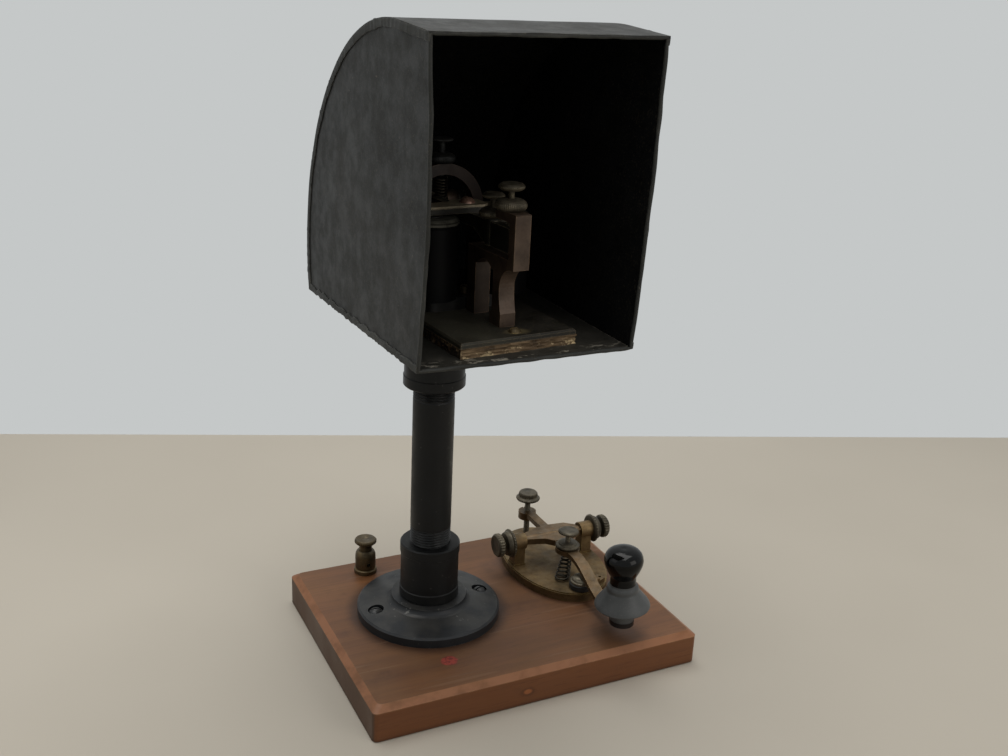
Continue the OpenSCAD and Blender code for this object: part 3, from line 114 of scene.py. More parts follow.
def spline(points, per=6):
    """Catmull-Rom through the points."""
    p = [Vector(q) for q in points]
    p = [2 * p[0] - p[1]] + p + [2 * p[-1] - p[-2]]
    out = []
    for i in range(1, len(p) - 2):
        for k in range(per):
            t = k / per
            a, b, c, d = p[i - 1], p[i], p[i + 1], p[i + 2]
            out.append(0.5 * ((2 * b) + (c - a) * t + (2 * a - 5 * b + 4 * c - d) * t * t
                              + (3 * b - a - 3 * c + d) * t ** 3))
    return [tuple(q) for q in out] + [tuple(p[-2])]


def turned(profile, place, segs=64, knurls=(), threads=(), bevel=0.25):
    """Verts and faces of a turned piece, its profile a list of (r, z).

    knurls: (z0, z1, least r, teeth, depth); threads: (z0, z1, pitch, depth).
    """
    pts = []
    n = len(profile)
    for i, (r, z) in enumerate(profile):
        if 0 < i < n - 1 and bevel:
            p, a, b = Vector((r, z)), Vector(profile[i - 1]), Vector(profile[i + 1])
            if (a - p).length > 1e-6 and (b - p).length > 1e-6:
                da, db = (a - p).normalized(), (b - p).normalized()
                if da.dot(db) > -0.93:
                    w = min(bevel, (a - p).length * 0.4, (b - p).length * 0.4)
                    q0, q1 = p + da * w, p + db * w
                    mid = (q0 + q1) * 0.25 + p * 0.5
                    pts += [tuple(q0), tuple(mid), tuple(q1)]
                    continue
        pts.append((r, z))
    dense = [pts[0]]
    for (r0, z0), (r1, z1) in zip(pts, pts[1:]):
        fine = 3.0
        for t0, t1, pitch, depth in threads:
            if abs(r1 - r0) < 0.5 and min(z0, z1) < t1 and max(z0, z1) > t0:
                fine = pitch / 6
        for k0, k1, kr, teeth, depth in knurls:
            if max(r0, r1) >= kr and min(z0, z1) < k1 and max(z0, z1) > k0:
                fine = min(fine, 0.5)
        m = max(1, round(math.hypot(r1 - r0, z1 - z0) / fine))
        dense += [(r0 + (r1 - r0) * i / m, z0 + (z1 - z0) * i / m) for i in range(1, m + 1)]
    if knurls:
        segs = knurls[0][3] * 4
    verts = []
    for r, z in dense:
        for k in range(segs):
            a = 2 * math.pi * k / segs
            q = r
            for k0, k1, kr, teeth, depth in knurls:
                if k0 <= z <= k1 and r >= kr:
                    fade = min(1, (r - kr) / 0.5)
                    q = r - fade * depth * (0.5 + 0.5 * math.cos(teeth * a)) ** 0.8
            for t0, t1, pitch, depth in threads:
                if t0 <= z <= t1:
                    f = (z / pitch - a / (2 * math.pi)) % 1
                    saw = abs(2 * f - 1)
                    q -= depth * min(1, (z - t0) / pitch, (t1 - z) / pitch) * saw
            verts.append(place @ Vector((q * math.cos(a), q * math.sin(a), z)))
    faces = ring_faces(len(dense), segs)
    for ring, z in ((0, dense[0][1]), (len(dense) - 1, dense[-1][1])):
        if dense[ring][0] < 1e-4:
            keep = ring * segs
            verts[keep] = place @ Vector((0, 0, z))
            faces = [f for f in faces if not all(keep <= i < keep + segs for i in f)]
            faces = [tuple(dict.fromkeys(keep if keep <= i < keep + segs else i for i in f)) for f in faces]
    used = sorted({i for f in faces for i in f})
    remap = {v: i for i, v in enumerate(used)}
    return [verts[i] for i in used], [tuple(remap[i] for i in f) for f in faces]


def tube(path, r, sides=10):
    """A round tube along a path of Vectors."""
    n = len(path)
    t = [(path[min(i + 1, n - 1)] - path[max(i - 1, 0)]).normalized() for i in range(n)]
    u = t[0].orthogonal().normalized()
    verts = []
    for i in range(n):
        u = (u - t[i] * u.dot(t[i])).normalized()
        w = t[i].cross(u)
        for k in range(sides):
            a = 2 * math.pi * k / sides
            verts.append(path[i] + r * (math.cos(a) * u + math.sin(a) * w))
    faces = ring_faces(n, sides)
    return verts, faces + [tuple(range(sides)), tuple(range((n - 1) * sides, n * sides))]


def sheet_grid(fn, nu, nv, thickness):
    """A closed sheet: fn(u, v) gives a point and the unit normal of its outer face."""
    outer, inner = [], []
    for i in range(nu + 1):
        for k in range(nv + 1):
            p, n = fn(i / nu, k / nv)
            outer.append(p)
            inner.append(p - n * thickness)
    w = nv + 1
    m = len(outer)
    faces = []
    for i in range(nu):
        for k in range(nv):
            a, b, c, d = i * w + k, i * w + k + 1, (i + 1) * w + k + 1, (i + 1) * w + k
            faces += [(a, b, c, d), (a + m, d + m, c + m, b + m)]
    edge = ([i * w for i in range(nu + 1)], [i * w + nv for i in range(nu + 1)],
            list(range(nv + 1)), [nu * w + k for k in range(nv + 1)])
    for line in edge:
        for a, b in zip(line, line[1:]):
            faces.append((a, b, b + m, a + m))
    return outer + inner, faces


def fbm(v, octaves=3):
    return noise.fractal(Vector(v), 1.0, 2.0, octaves)


# ---------------------------------------------------------------- materials
def lin(hexa):
    c = [int(hexa[i:i + 2], 16) / 255 for i in (1, 3, 5)]
    return [x / 12.92 if x <= 0.04045 else ((x + 0.055) / 1.055) ** 2.4 for x in c] + [1.0]


class Mat:
    def __init__(self, name, rough=0.5, metal=0.0, spec=0.5, coat=0.0, coat_rough=0.1):
        self.m = bpy.data.materials.new(name)
        self.m.use_nodes = True
        self.t = self.m.node_tree
        self.b = self.t.nodes["Principled BSDF"]
        self.b.inputs["Metallic"].default_value = metal
        self.b.inputs["Roughness"].default_value = rough
        self.b.inputs["Specular IOR Level"].default_value = spec
        self.b.inputs["Coat Weight"].default_value = coat
        self.b.inputs["Coat Roughness"].default_value = coat_rough
        self.obj = self.t.nodes.new("ShaderNodeTexCoord").outputs["Object"]
        self.geo = self.t.nodes.new("ShaderNodeNewGeometry")

    def put(self, socket, value):
        if isinstance(value, bpy.types.NodeSocket):
            self.t.links.new(value, socket)
        else:
            socket.default_value = value

    def noise(self, scale, detail=4, rough=0.55, stretch=(1, 1, 1), offset=0.0, distort=0.0, turn=(0, 0, 0)):
        mp = self.t.nodes.new("ShaderNodeMapping")
        self.put(mp.inputs["Vector"], self.obj)
        mp.inputs["Scale"].default_value = stretch
        mp.inputs["Location"].default_value = (offset, offset * 1.7, offset * 2.3)
        mp.inputs["Rotation"].default_value = turn
        n = self.t.nodes.new("ShaderNodeTexNoise")
        self.put(n.inputs["Vector"], mp.outputs[0])
        n.inputs["Scale"].default_value = scale
        n.inputs["Detail"].default_value = detail
        n.inputs["Roughness"].default_value = rough
        n.inputs["Distortion"].default_value = distort
        return n.outputs["Fac"]

    def ramp(self, fac, *stops):
        r = self.t.nodes.new("ShaderNodeValToRGB")
        self.put(r.inputs[0], fac)
        e = r.color_ramp.elements
        while len(e) < len(stops):
            e.new(0.5)
        for el, (pos, col) in zip(e, stops):
            el.position = pos
            el.color = lin(col) if isinstance(col, str) else (col, col, col, 1)
        return r.outputs[0]

    def step(self, fac, lo, hi, a=0.0, b=1.0):
        r = self.t.nodes.new("ShaderNodeMapRange")
        r.interpolation_type = "SMOOTHSTEP"
        for i, v in enumerate((fac, lo, hi, a, b)):
            self.put(r.inputs[i], v)
        return r.outputs[0]

    def math(self, op, a, b=0.0, clamp=False):
        n = self.t.nodes.new("ShaderNodeMath")
        n.operation = op
        n.use_clamp = clamp
        self.put(n.inputs[0], a)
        self.put(n.inputs[1], b)
        return n.outputs[0]

    def times(self, a, b):
        return self.math("MULTIPLY", a, b)

    def mix(self, fac, a, b):
        n = self.t.nodes.new("ShaderNodeMix")
        n.data_type = "RGBA"
        self.put(n.inputs[0], fac)
        self.put(n.inputs[6], lin(a) if isinstance(a, str) else a)
        self.put(n.inputs[7], lin(b) if isinstance(b, str) else b)
        return n.outputs[2]

    def axis(self, which, source=None):
        n = self.t.nodes.new("ShaderNodeSeparateXYZ")
        self.put(n.inputs[0], source or self.obj)
        return n.outputs[which]

    def edge(self, radius, lo=0.02, hi=0.25):
        b = self.t.nodes.new("ShaderNodeBevel")
        b.samples = 4
        b.inputs["Radius"].default_value = radius * MM
        d = self.t.nodes.new("ShaderNodeVectorMath")
        d.operation = "DOT_PRODUCT"
        self.put(d.inputs[0], b.outputs[0])
        self.put(d.inputs[1], self.geo.outputs["Normal"])
        return self.step(self.math("SUBTRACT", 1.0, d.outputs["Value"]), lo, hi)

    def spot(self, centre, rx, ry, rz=1000.0, soft=0.5, wobble=0.0, wob_scale=300):
        """1 inside an ellipsoid round a point in mm, 0 outside."""
        mp = self.t.nodes.new("ShaderNodeMapping")
        mp.vector_type = "POINT"
        self.put(mp.inputs["Vector"], self.obj)
        mp.inputs["Scale"].default_value = (1000 / rx, 1000 / ry, 1000 / rz)
        mp.inputs["Location"].default_value = (-centre[0] / rx, -centre[1] / ry, -centre[2] / rz)
        v = self.t.nodes.new("ShaderNodeVectorMath")
        v.operation = "LENGTH"
        self.put(v.inputs[0], mp.outputs[0])
        d = v.outputs["Value"]
        if wobble:
            shift = self.times(self.math("SUBTRACT", self.noise(wob_scale, 3), 0.5), wobble)
            d = self.math("ADD", d, shift)
        return self.step(d, 1 - soft, 1 + soft, 1.0, 0.0)

    def bump(self, height, mm, strength=1.0):
        n = self.t.nodes.new("ShaderNodeBump")
        n.inputs["Strength"].default_value = strength
        n.inputs["Distance"].default_value = mm * MM
        self.put(n.inputs["Height"], height)
        if self.b.inputs["Normal"].is_linked:
            self.put(n.inputs["Normal"], self.b.inputs["Normal"].links[0].from_socket)
        self.put(self.b.inputs["Normal"], n.outputs[0])

    def done(self, color, rough=None):
        self.put(self.b.inputs["Base Color"], color)
        if rough is not None:
            self.put(self.b.inputs["Roughness"], rough)
        return self.m


def brass_like(name, dark, mid, light, worn, rough=(0.34, 0.6), metal=0.5, grime=0.55, edge=0.5, scale=90,
               sides=0.35, dust=0.25, dust_color="#8b8474", spec=0.35, bare=(0.15, 0.9), shade_under_skirt=None):
    m = Mat(name, metal=metal, spec=spec)
    broad = m.noise(scale, 5, 0.6)
    fine = m.noise(scale * 9, 4, 0.6, offset=3)
    c = m.ramp(broad, (0.3, dark), (0.52, mid), (0.72, light))
    c = m.mix(m.step(fine, 0.52, 0.68, 0.0, grime), c, dark)
    up = m.axis(2, m.geo.outputs["Normal"])
    # painted shade: side-facing surfaces are darkened towards the dark tone, by the amount that sides sets
    side_shade = m.step(m.noise(scale * 1.6, 4, offset=13), 0.25, 0.75, sides * 0.6, sides)
    c = m.mix(m.times(m.step(up, 0.75, 0.2), side_shade), c, dark)
    dusty = m.step(m.noise(scale * 2.4, 5, offset=17), 0.3, 0.7, 0.0, dust)
    c = m.mix(m.times(m.step(up, 0.55, 0.95), dusty), c, dust_color)
    # edge wear, partly a painted highlight along the edges
    wear = m.times(m.edge(edge), m.step(m.noise(scale * 4, 3, offset=5), 0.35, 0.6, *bare))
    c = m.mix(wear, c, worn)
    # painted shade: the lever's end pad under the skirt is painted dark
    if shade_under_skirt:
        c = m.mix(m.spot(shade_under_skirt, 9.4, 9.4, soft=0.04), c, "#1f1a19")
    r = m.step(m.noise(scale * 2.2, 4, offset=8), 0.3, 0.75, rough[0], rough[1])
    m.bump(fine, 0.05, 0.5)
    m.bump(m.noise(scale * 30, 2, offset=2), 0.02, 0.35)
    return m.done(c, r)


def wood_board():
    m = Mat("mahogany", coat=0.06, coat_rough=0.4, spec=0.35)
    grain = m.noise(34, 6, 0.62, stretch=(0.09, 1.0, 1.0), distort=0.5)
    fibre = m.noise(420, 4, 0.7, stretch=(0.035, 1.0, 1.0), offset=4)
    pores = m.noise(900, 2, 0.6, stretch=(0.06, 1.0, 1.0), offset=9)
    c = m.ramp(grain, (0.28, "#583520"), (0.45, "#6e4629"), (0.6, "#7c502f"), (0.78, "#895b37"))
    c = m.mix(m.step(fibre, 0.45, 0.7, 0.0, 0.4), c, "#4d2f1f")
    c = m.mix(m.step(pores, 0.6, 0.72, 0.0, 0.55), c, "#3d2417")
    z = m.axis(2)
    up = m.axis(2, m.geo.outputs["Normal"])
    side = m.step(up, 0.15, 0.75, 1.0, 0.0)
    c = m.mix(m.times(side, 0.82), c, m.mix(0.45, "#6c3c1b", c))
    # dust and dirt on the top
    cloud = m.noise(16, 5, 0.6, offset=12)
    veil = m.times(m.step(up, 0.6, 0.98), m.step(cloud, 0.3, 0.7, 0.12, 0.5))
    c = m.mix(veil, c, "#745940")
    # painted shade: faces turned to the left are darkened
    west_shade = m.step(m.axis(0, m.geo.outputs["Normal"]), -0.6, -0.9, 0.0, 0.75)
    c = m.mix(west_shade, c, "#43352a")
    c = m.mix(m.step(m.noise(26, 5, 0.65, offset=21), 0.56, 0.72, 0.0, 0.4), c, "#4a3022")
    # worn bevel and edges, partly a painted highlight on the bevel
    top = m.times(m.step(z, 0.0192, 0.0206), m.step(up, 0.985, 0.93))
    patch = m.step(m.noise(70, 4, 0.6, offset=31, stretch=(0.6, 0.6, 1)), 0.36, 0.6, 0.2, 0.85)
    c = m.mix(m.times(top, patch), c, "#99694a")
    rim = m.times(m.edge(1.4, 0.02, 0.18), m.step(m.noise(120, 4, offset=41), 0.42, 0.62, 0.0, 0.75))
    c = m.mix(rim, c, "#a9825f")
    # painted shade: the lowest 3.5 mm of the board is darkened next to the floor
    low = m.times(m.step(z, 0.0035, 0.0), 0.55)
    c = m.mix(low, c, "#2e1a10")
    # stain round the flange, painted shadow round the key's base, the knot, fine scratches, the paint drop
    for share, color, spot in (
            (0.75, "#2b1a12", m.spot((PIPE_X, PIPE_Y, T), 53, 53, soft=0.09, wobble=0.06, wob_scale=60)),
            # painted shadow round the key's base
            (0.6, "#3c2519", m.spot((64.8, 26.5, T), 37.5, 55.5, soft=0.06, wobble=0.05, wob_scale=60)),
            (0.6, "#4a2814", m.spot(KNOT, 5.0, 60, 3.0, soft=0.4, wobble=0.6)),
            (0.8, "#a4643a", m.spot(KNOT, 2.8, 60, 1.7, soft=0.4, wobble=0.4))):
        c = m.mix(m.times(spot, share), c, color)
    scratch = m.step(m.noise(160, 1, 0.4, stretch=(0.05, 1, 1), offset=51, turn=(0, 0, 0.5)), 0.7, 0.74)
    scratch2 = m.step(m.noise(200, 1, 0.4, stretch=(0.04, 1, 1), offset=61, turn=(0, 0, -0.35)), 0.71, 0.745)
    lines = m.times(m.math("ADD", scratch, scratch2, clamp=True), m.step(up, 0.9, 0.99, 0.0, 0.14))
    c = m.mix(lines, c, "#a1866f")
    red = m.spot(PAINT_DROP, 5.3, 5.0, soft=0.14, wobble=0.45, wob_scale=190)
    on_top = m.step(up, 0.9, 0.99)
    red = m.times(red, on_top)
    c = m.mix(red, c, m.mix(m.step(m.noise(380, 3, offset=71), 0.4, 0.6), "#a0453a", "#6f3029"))
    r = m.step(cloud, 0.3, 0.7, 0.42, 0.62)
    m.bump(grain, 0.15, 0.35)
    m.bump(fibre, 0.10, 0.5)
    m.bump(scratch, -0.08, 0.5)
    m.bump(red, 0.25, 0.6)
    return m.done(c, r)


def iron(name, base, light, rust="#4a3a30", rough=(0.36, 0.55), dust=0.3, metal=0.35, edge=0.6, scratch=0.5,
         specks=0.5, spec=0.4):
    m = Mat(name, metal=metal, spec=spec)
    broad = m.noise(45, 5, 0.6)
    fine = m.noise(520, 4, 0.65, offset=3)
    c = m.ramp(broad, (0.3, base), (0.7, light))
    c = m.mix(m.step(fine, 0.6, 0.72, 0.0, 0.45), c, rust)
    up = m.axis(2, m.geo.outputs["Normal"])
    dusty = m.times(m.step(up, 0.5, 1.0, 0.0, dust), m.step(m.noise(60, 5, offset=7), 0.3, 0.7))
    c = m.mix(dusty, c, "#6d6a63")
    wear = m.times(m.edge(edge), m.step(m.noise(190, 4, offset=9), 0.4, 0.62, 0.0, scratch))
    c = m.mix(wear, c, "#7b7c7c")
    spots = m.step(m.noise(260, 3, 0.5, offset=14), 0.68, 0.73, 0.0, specks)
    c = m.mix(spots, c, "#8a8985")
    r = m.step(m.noise(80, 5, offset=5), 0.3, 0.75, rough[0], rough[1])
    m.bump(fine, 0.06, 0.5)
    m.bump(broad, 0.4, 0.25)
    return m.done(c, r)


def hood_paint(name, base, light, dark, inside=False, bare=0.55):
    m = Mat(name, metal=0.0, spec=0.12 if inside else 0.26)
    broad = m.noise(14, 5, 0.6)
    mott = m.noise(75, 6, 0.7, offset=2)
    speck = m.noise(900, 3, 0.6, offset=6)
    c = m.ramp(broad, (0.3, dark), (0.55, base), (0.75, light))
    c = m.mix(m.step(mott, 0.5, 0.75, 0.0, 0.35), c, light)
    c = m.mix(m.step(speck, 0.55, 0.7, 0.0, 0.35), c, "#5a5449")
    if not inside:
        c = m.mix(m.step(m.noise(240, 4, 0.6, offset=16), 0.68, 0.74, 0.0, 0.4), c, "#6f6a60")
    runs = m.noise(60, 4, 0.6, stretch=(1, 1, 0.12), offset=22)
    c = m.mix(m.step(runs, 0.58, 0.74, 0.0, 0.35), c, dark)
    if not inside:
        wear = m.times(m.edge(1.2), m.step(m.noise(130, 4, offset=26), 0.42, 0.62, 0.0, bare))
        c = m.mix(wear, c, "#6b6a66")
    r = m.step(mott, 0.3, 0.75, 0.5, 0.78)
    m.bump(mott, 0.25, 0.3)
    m.bump(speck, 0.05, 0.5)
    return m.done(c, r)


def anvil_bronze(name):
    m = Mat(name, metal=0.3, spec=0.3)
    fine = m.noise(650, 4, 0.6, offset=3)
    c = m.ramp(m.noise(70, 5, 0.6), (0.3, "#33271f"), (0.52, "#4c3e33"), (0.72, "#5b4b3f"))
    c = m.mix(m.step(fine, 0.52, 0.7, 0.0, 0.35), c, "#2b211a")
    # painted shade: darker towards the rear, on the rear leg deep in the hood
    c = m.mix(m.step(m.axis(1), -0.074, -0.055, 0.0, 0.6), c, "#231b15")
    wear = m.times(m.edge(0.6), m.step(m.noise(280, 3, offset=5), 0.35, 0.6, 0.25, 1.0))
    c = m.mix(wear, c, "#93795f")
    m.bump(fine, 0.05, 0.5)
    return m.done(c, m.step(m.noise(150, 4, offset=8), 0.3, 0.75, 0.4, 0.58))


def rubber(name, base, haze, rough, dust, veil=0.0, spec=0.4):
    m = Mat(name, spec=spec)
    n = m.noise(60, 5, 0.6)
    up = m.axis(2, m.geo.outputs["Normal"])
    speck = m.step(m.noise(1300, 2, 0.5, offset=4), 0.6, 0.7, 0.0, dust)
    c = m.mix(m.times(speck, m.step(up, -0.1, 0.8)), m.ramp(n, (0.35, base), (0.7, haze)), "#77746c")
    top = m.times(m.step(up, 0.45, 0.95), m.step(m.noise(150, 4, offset=15), 0.3, 0.7, veil * 0.5, veil))
    c = m.mix(top, c, "#6c6e6e")
    r = m.step(m.noise(140, 5, offset=9), 0.35, 0.7, rough[0], rough[1])
    if veil:
        r = m.math("ADD", r, m.times(top, 0.5))
    m.bump(m.noise(1500, 2, offset=2), 0.015, 0.3)
    return m.done(c, r)


def coil_cover():
    m = Mat("coil_cover", rough=0.5, spec=0.08)
    c = m.ramp(m.noise(60, 5, 0.6), (0.35, "#060607"), (0.7, "#0c0b0b"))
    z = m.axis(2)
    # dust and a painted highlight: the caps' tops are lightened grey
    cap_dust_and_highlight = m.times(m.step(z, 0.2978, 0.2984), m.step(m.noise(210, 4, offset=3), 0.3, 0.6, 0.3, 0.75))
    c = m.mix(cap_dust_and_highlight, c, "#6c6b62")
    line = m.times(m.step(z, 0.2993, 0.2996), m.step(z, 0.3003, 0.3000))
    c = m.mix(m.times(line, 0.8), c, "#171614")
    m.bump(m.noise(700, 3, offset=6), 0.05, 0.4)
    return m.done(c, 0.52)


def two_tone(name, level):
    """Dusty brass above a level, dark iron below it."""
    m = Mat(name, metal=0.3, spec=0.3)
    broad = m.noise(90, 5, 0.6)
    brass = m.ramp(broad, (0.3, "#6c6352"), (0.52, "#8f8570"), (0.72, "#a9a08a"))
    brass = m.mix(m.step(m.noise(800, 4, offset=3), 0.52, 0.68, 0.0, 0.5), brass, "#3f382c")
    iron_ = m.ramp(broad, (0.3, "#201f1c"), (0.7, "#36342f"))
    c = m.mix(m.step(m.axis(2), level - 0.00005, level + 0.00005), iron_, brass)
    wear = m.times(m.edge(0.35), m.step(m.noise(360, 3, offset=5), 0.35, 0.6, 0.15, 0.85))
    c = m.mix(wear, c, "#a89d86")
    m.bump(m.noise(800, 4, offset=3), 0.05, 0.5)
    return m.done(c, m.step(m.noise(200, 4, offset=8), 0.3, 0.75, 0.42, 0.62))


def hood_floor_paint():
    m = Mat("hood_floor_paint", metal=0.0, spec=0.3)
    mott = m.noise(70, 6, 0.7, offset=2)
    c = m.ramp(m.noise(18, 5, 0.6), (0.3, "#24231f"), (0.55, "#33312c"), (0.75, "#413e37"))
    c = m.mix(m.step(mott, 0.5, 0.72, 0.0, 0.5), c, "#57534a")
    c = m.mix(m.step(m.noise(240, 5, 0.65, offset=8), 0.55, 0.66, 0.0, 0.7), c, "#15140f")
    front = m.step(m.axis(1), -0.093, -0.107)
    chips = m.times(front, m.step(m.noise(190, 5, 0.7, offset=5, stretch=(0.5, 1, 1)), 0.55, 0.6))
    c = m.mix(m.times(chips, 0.8), c, "#aaa598")
    wear = m.times(m.edge(1.0), m.step(m.noise(160, 4, offset=26), 0.38, 0.55, 0.2, 0.9))
    c = m.mix(wear, c, "#8e897c")
    m.bump(mott, 0.25, 0.3)
    m.bump(chips, -0.12, 0.6)
    return m.done(c, m.step(mott, 0.3, 0.75, 0.5, 0.75))


def steel(name, dark, light, rough=(0.3, 0.5), metal=0.85):
    return brass_like(name, dark, light, light, "#a09a8e", rough, metal, 0.4, 0.4, 120)


def cotton():
    m = Mat("winding_cotton", rough=0.85, spec=0.2)
    lines = m.t.nodes.new("ShaderNodeTexWave")
    lines.bands_direction = "Z"
    m.put(lines.inputs["Vector"], m.obj)
    lines.inputs["Scale"].default_value = 420
    lines.inputs["Distortion"].default_value = 0.4
    c = m.mix(lines.outputs["Fac"], "#2c170f", "#5b3022")
    m.bump(lines.outputs["Fac"], 0.2, 0.6)
    return m.done(c)


def chipped_wood():
    m = Mat("sounder_wood", rough=0.7, spec=0.3)
    layers = m.noise(150, 5, 0.65, stretch=(0.2, 0.2, 2.6))
    chips = m.noise(170, 5, 0.7, offset=7)
    c = m.ramp(layers, (0.35, "#2f251c"), (0.5, "#5e4a36"), (0.66, "#8d7658"))
    c = m.mix(m.step(chips, 0.46, 0.56), c, "#2a221b")
    c = m.mix(m.step(m.noise(420, 3, offset=11), 0.62, 0.7, 0.0, 0.7), c, "#a8957a")
    ny = m.axis(1, m.geo.outputs["Normal"])
    front = m.step(ny, -0.5, -0.8)
    face = m.ramp(layers, (0.3, "#4b3d2e"), (0.5, "#7b664d"), (0.68, "#a48d6d"))
    fresh = m.step(m.noise(60, 4, offset=19, stretch=(1, 1, 0.4)), 0.3, 0.55, 0.35, 1.0)
    c = m.mix(m.times(front, fresh), c, face)
    low = m.step(m.axis(2), 0.2431, 0.2412)
    tan = m.step(m.noise(130, 5, 0.7, offset=23, stretch=(1, 1, 1.6)), 0.5, 0.56)
    c = m.mix(m.times(m.times(front, tan), m.times(low, 0.9)), c, "#d9c39a")
    m.bump(layers, 0.5, 0.7)
    m.bump(chips, 0.5, 0.5)
    return m.done(c, 0.75)


def bed_top_mat():
    m = Mat("bed_iron", spec=0.35)
    broad = m.noise(50, 5, 0.6)
    c = m.ramp(broad, (0.3, "#171510"), (0.55, "#221f19"), (0.75, "#312c23"))
    c = m.mix(m.step(m.noise(700, 4, 0.6, offset=4), 0.54, 0.66, 0.0, 0.32), c, "#5b5340")
    haze = m.step(m.noise(22, 3, offset=14), 0.35, 0.6, 0.05, 0.3)
    c = m.mix(m.times(haze, m.step(m.axis(0), -0.03, -0.06)), c, "#5b594a")
    ring = m.spot((-33.4, -87.6, 247), 6.6, 4.4, soft=0.5, wobble=1.1, wob_scale=210)
    c = m.mix(m.times(ring, 0.5), c, "#7d7050")
    c = m.mix(m.times(m.edge(0.9), 0.75), c, "#8a7c64")
    m.bump(m.noise(400, 4, offset=6), 0.15, 0.5)
    return m.done(c, m.step(broad, 0.3, 0.7, 0.5, 0.72))


# by name, without the number that Blender adds where the frame has a material of that name
MATS = {mat.name.split(".")[0]: mat for mat in (
    wood_board(),
    iron("blued_iron", "#25272a", "#303235", dust=0.26, edge=0.9, spec=0.34),
    iron("black_pipe", "#0c0d0e", "#151617", rust="#1c1a18", dust=0.05, rough=(0.36, 0.52), scratch=0.4,
         specks=0.12, metal=0.0, spec=0.22),
    steel("steel_screws", "#3a3630", "#6f6a60"),
    hood_paint("hood_paint", "#2d2e2d", "#363635", "#242525"),
    # a lighter copy of the hood paint for seams, hems and the mouth rim: worn paint and a painted highlight on the
    # folded edges
    hood_paint("hood_edge", "#323331", "#4c4d4a", "#222321", bare=0.8),
    # painted shade: a much darker copy of the hood paint for the faces inside the hood
    hood_paint("hood_inside", "#0c0d0e", "#111213", "#08090a", inside=True),
    hood_floor_paint(),
    brass_like("dark_brass", "#352c1e", "#574a33", "#756344", "#b0965f"),
    brass_like("knurled_brass", "#332f26", "#534c3f", "#6e6656", "#b1a486", rough=(0.4, 0.62), sides=0.5),
    brass_like("olive_brass", "#4f4026", "#776040", "#8d7650", "#bd9c68", rough=(0.36, 0.58), sides=0.6),
    # painted shade: a near-black copy of the brass for the tension screw and its nut, which sit in shade
    brass_like("screw_in_painted_shade", "#1b1c1c", "#2c2d2d", "#3b3c3b", "#5d5e5a", rough=(0.45, 0.62), dust=0.1),
    brass_like("dusty_base", "#473823", "#765f3e", "#8b7550", "#a88f52", rough=(0.42, 0.62), sides=0.55,
               dust=0.4, dust_color="#887a5e"),
    rubber("hard_rubber", "#030303", "#050505", (0.07, 0.14), 0.05, veil=0.03, spec=0.2),
    rubber("hard_rubber_satin", "#424445", "#505253", (0.4, 0.56), 0.3, veil=0.45, spec=0.4),
    rubber("ebonite", "#0a0a0a", "#141413", (0.42, 0.6), 0.5, veil=0.4),
    coil_cover(),
    two_tone("armature_two", 0.3062),
    # painted shade and highlights: the lever's near-black tone stands in for the shade on its side, its strong edge
    # lightening for highlights on its edges
    brass_like("lever_shade_and_glint", "#14130f", "#26231c", "#383428", "#b5aa90", rough=(0.4, 0.6), metal=0.3, edge=0.8,
               sides=0.75, dust=0.6, bare=(0.45, 1.0)),
    # painted shade: strongly darkened sides, and a dark spot for the shade on the end pad under the skirt
    brass_like("lever_brass", "#483823", "#6e583c", "#84694a", "#b8966a", rough=(0.36, 0.58), sides=0.85,
               shade_under_skirt=(64.7, -69, 32)),
    brass_like("arch_bronze", "#1d1714", "#332823", "#41342e", "#6f5d51", rough=(0.42, 0.6), metal=0.3, scale=70),
    steel("contact_metal", "#4a463d", "#857d6c", metal=0.5),
    steel("spring_steel", "#1d1b17", "#3d382f"),
    chipped_wood(),
    bed_top_mat(),
    brass_like("bronze", "#372b24", "#564639", "#665345", "#9a7c5c", rough=(0.4, 0.58), metal=0.35, scale=70,
               sides=0.15),
    anvil_bronze("anvil"),
    iron("soft_iron", "#1a1a19", "#2b2a28", dust=0.2, metal=0.4),
    cotton(),
    brass_like("copper_screw", "#5f4438", "#987666", "#b89686", "#e0c5b8", rough=(0.22, 0.4), sides=0.5),
)}
for name, node in frame["nodes"].items():
    slot = next(s["material_slot"] for s in frame["record"]["subparts"] if s["node"] == name)
    node.data.materials.clear()
    node.data.materials.append(MATS[slot])
# nodes whose look differs from that of their slot
for name, mat in (("hood_floor", "hood_floor_paint"), ("coil_covers", "coil_cover"), ("armature", "armature_two"),
                  ("sounder_lever", "lever_shade_and_glint"), ("arch", "arch_bronze"), ("key_base", "dusty_base"),
                  ("anvil_bridge", "anvil"), ("key_lever", "lever_brass")):
    frame["nodes"][name].data.materials[0] = MATS[mat]


# ---------------------------------------------------------------- camera
cam_data = bpy.data.cameras.new("camera")
cam = bpy.data.objects.new("camera", cam_data)
bpy.context.scene.collection.objects.link(cam)
cam_data.sensor_fit = "HORIZONTAL"
cam_data.sensor_width = 36
cam_data.lens = 40.772
cam_data.clip_start = 0.02
right, down, forward = (0.8992, -0.4352, 0.0461), (-0.1086, -0.3240, -0.9398), (0.4239, 0.8400, -0.3386)
stands = (-0.30652, -0.61568, 0.43423)
cam.matrix_world = Matrix([(right[i], -down[i], -forward[i], stands[i]) for i in range(3)] + [(0, 0, 0, 1)])
bpy.context.scene.camera = cam


# ---------------------------------------------------------------- hood
HF = -110.0
H_H = 167.0
H_R = 142.0
H_CY = HF + 191.8 - H_R
H_CZ = Z_FLOOR + H_H + 3.1 - H_R
corner = Vector((HF - H_CY, Z_FLOOR + H_H - H_CZ))
H_A1 = math.atan2(corner.y, corner.x) - math.acos(H_R / corner.length)
H_LOW = Z_FLOOR - 5.5
H_A0 = math.asin((H_LOW - H_CZ) / H_R)


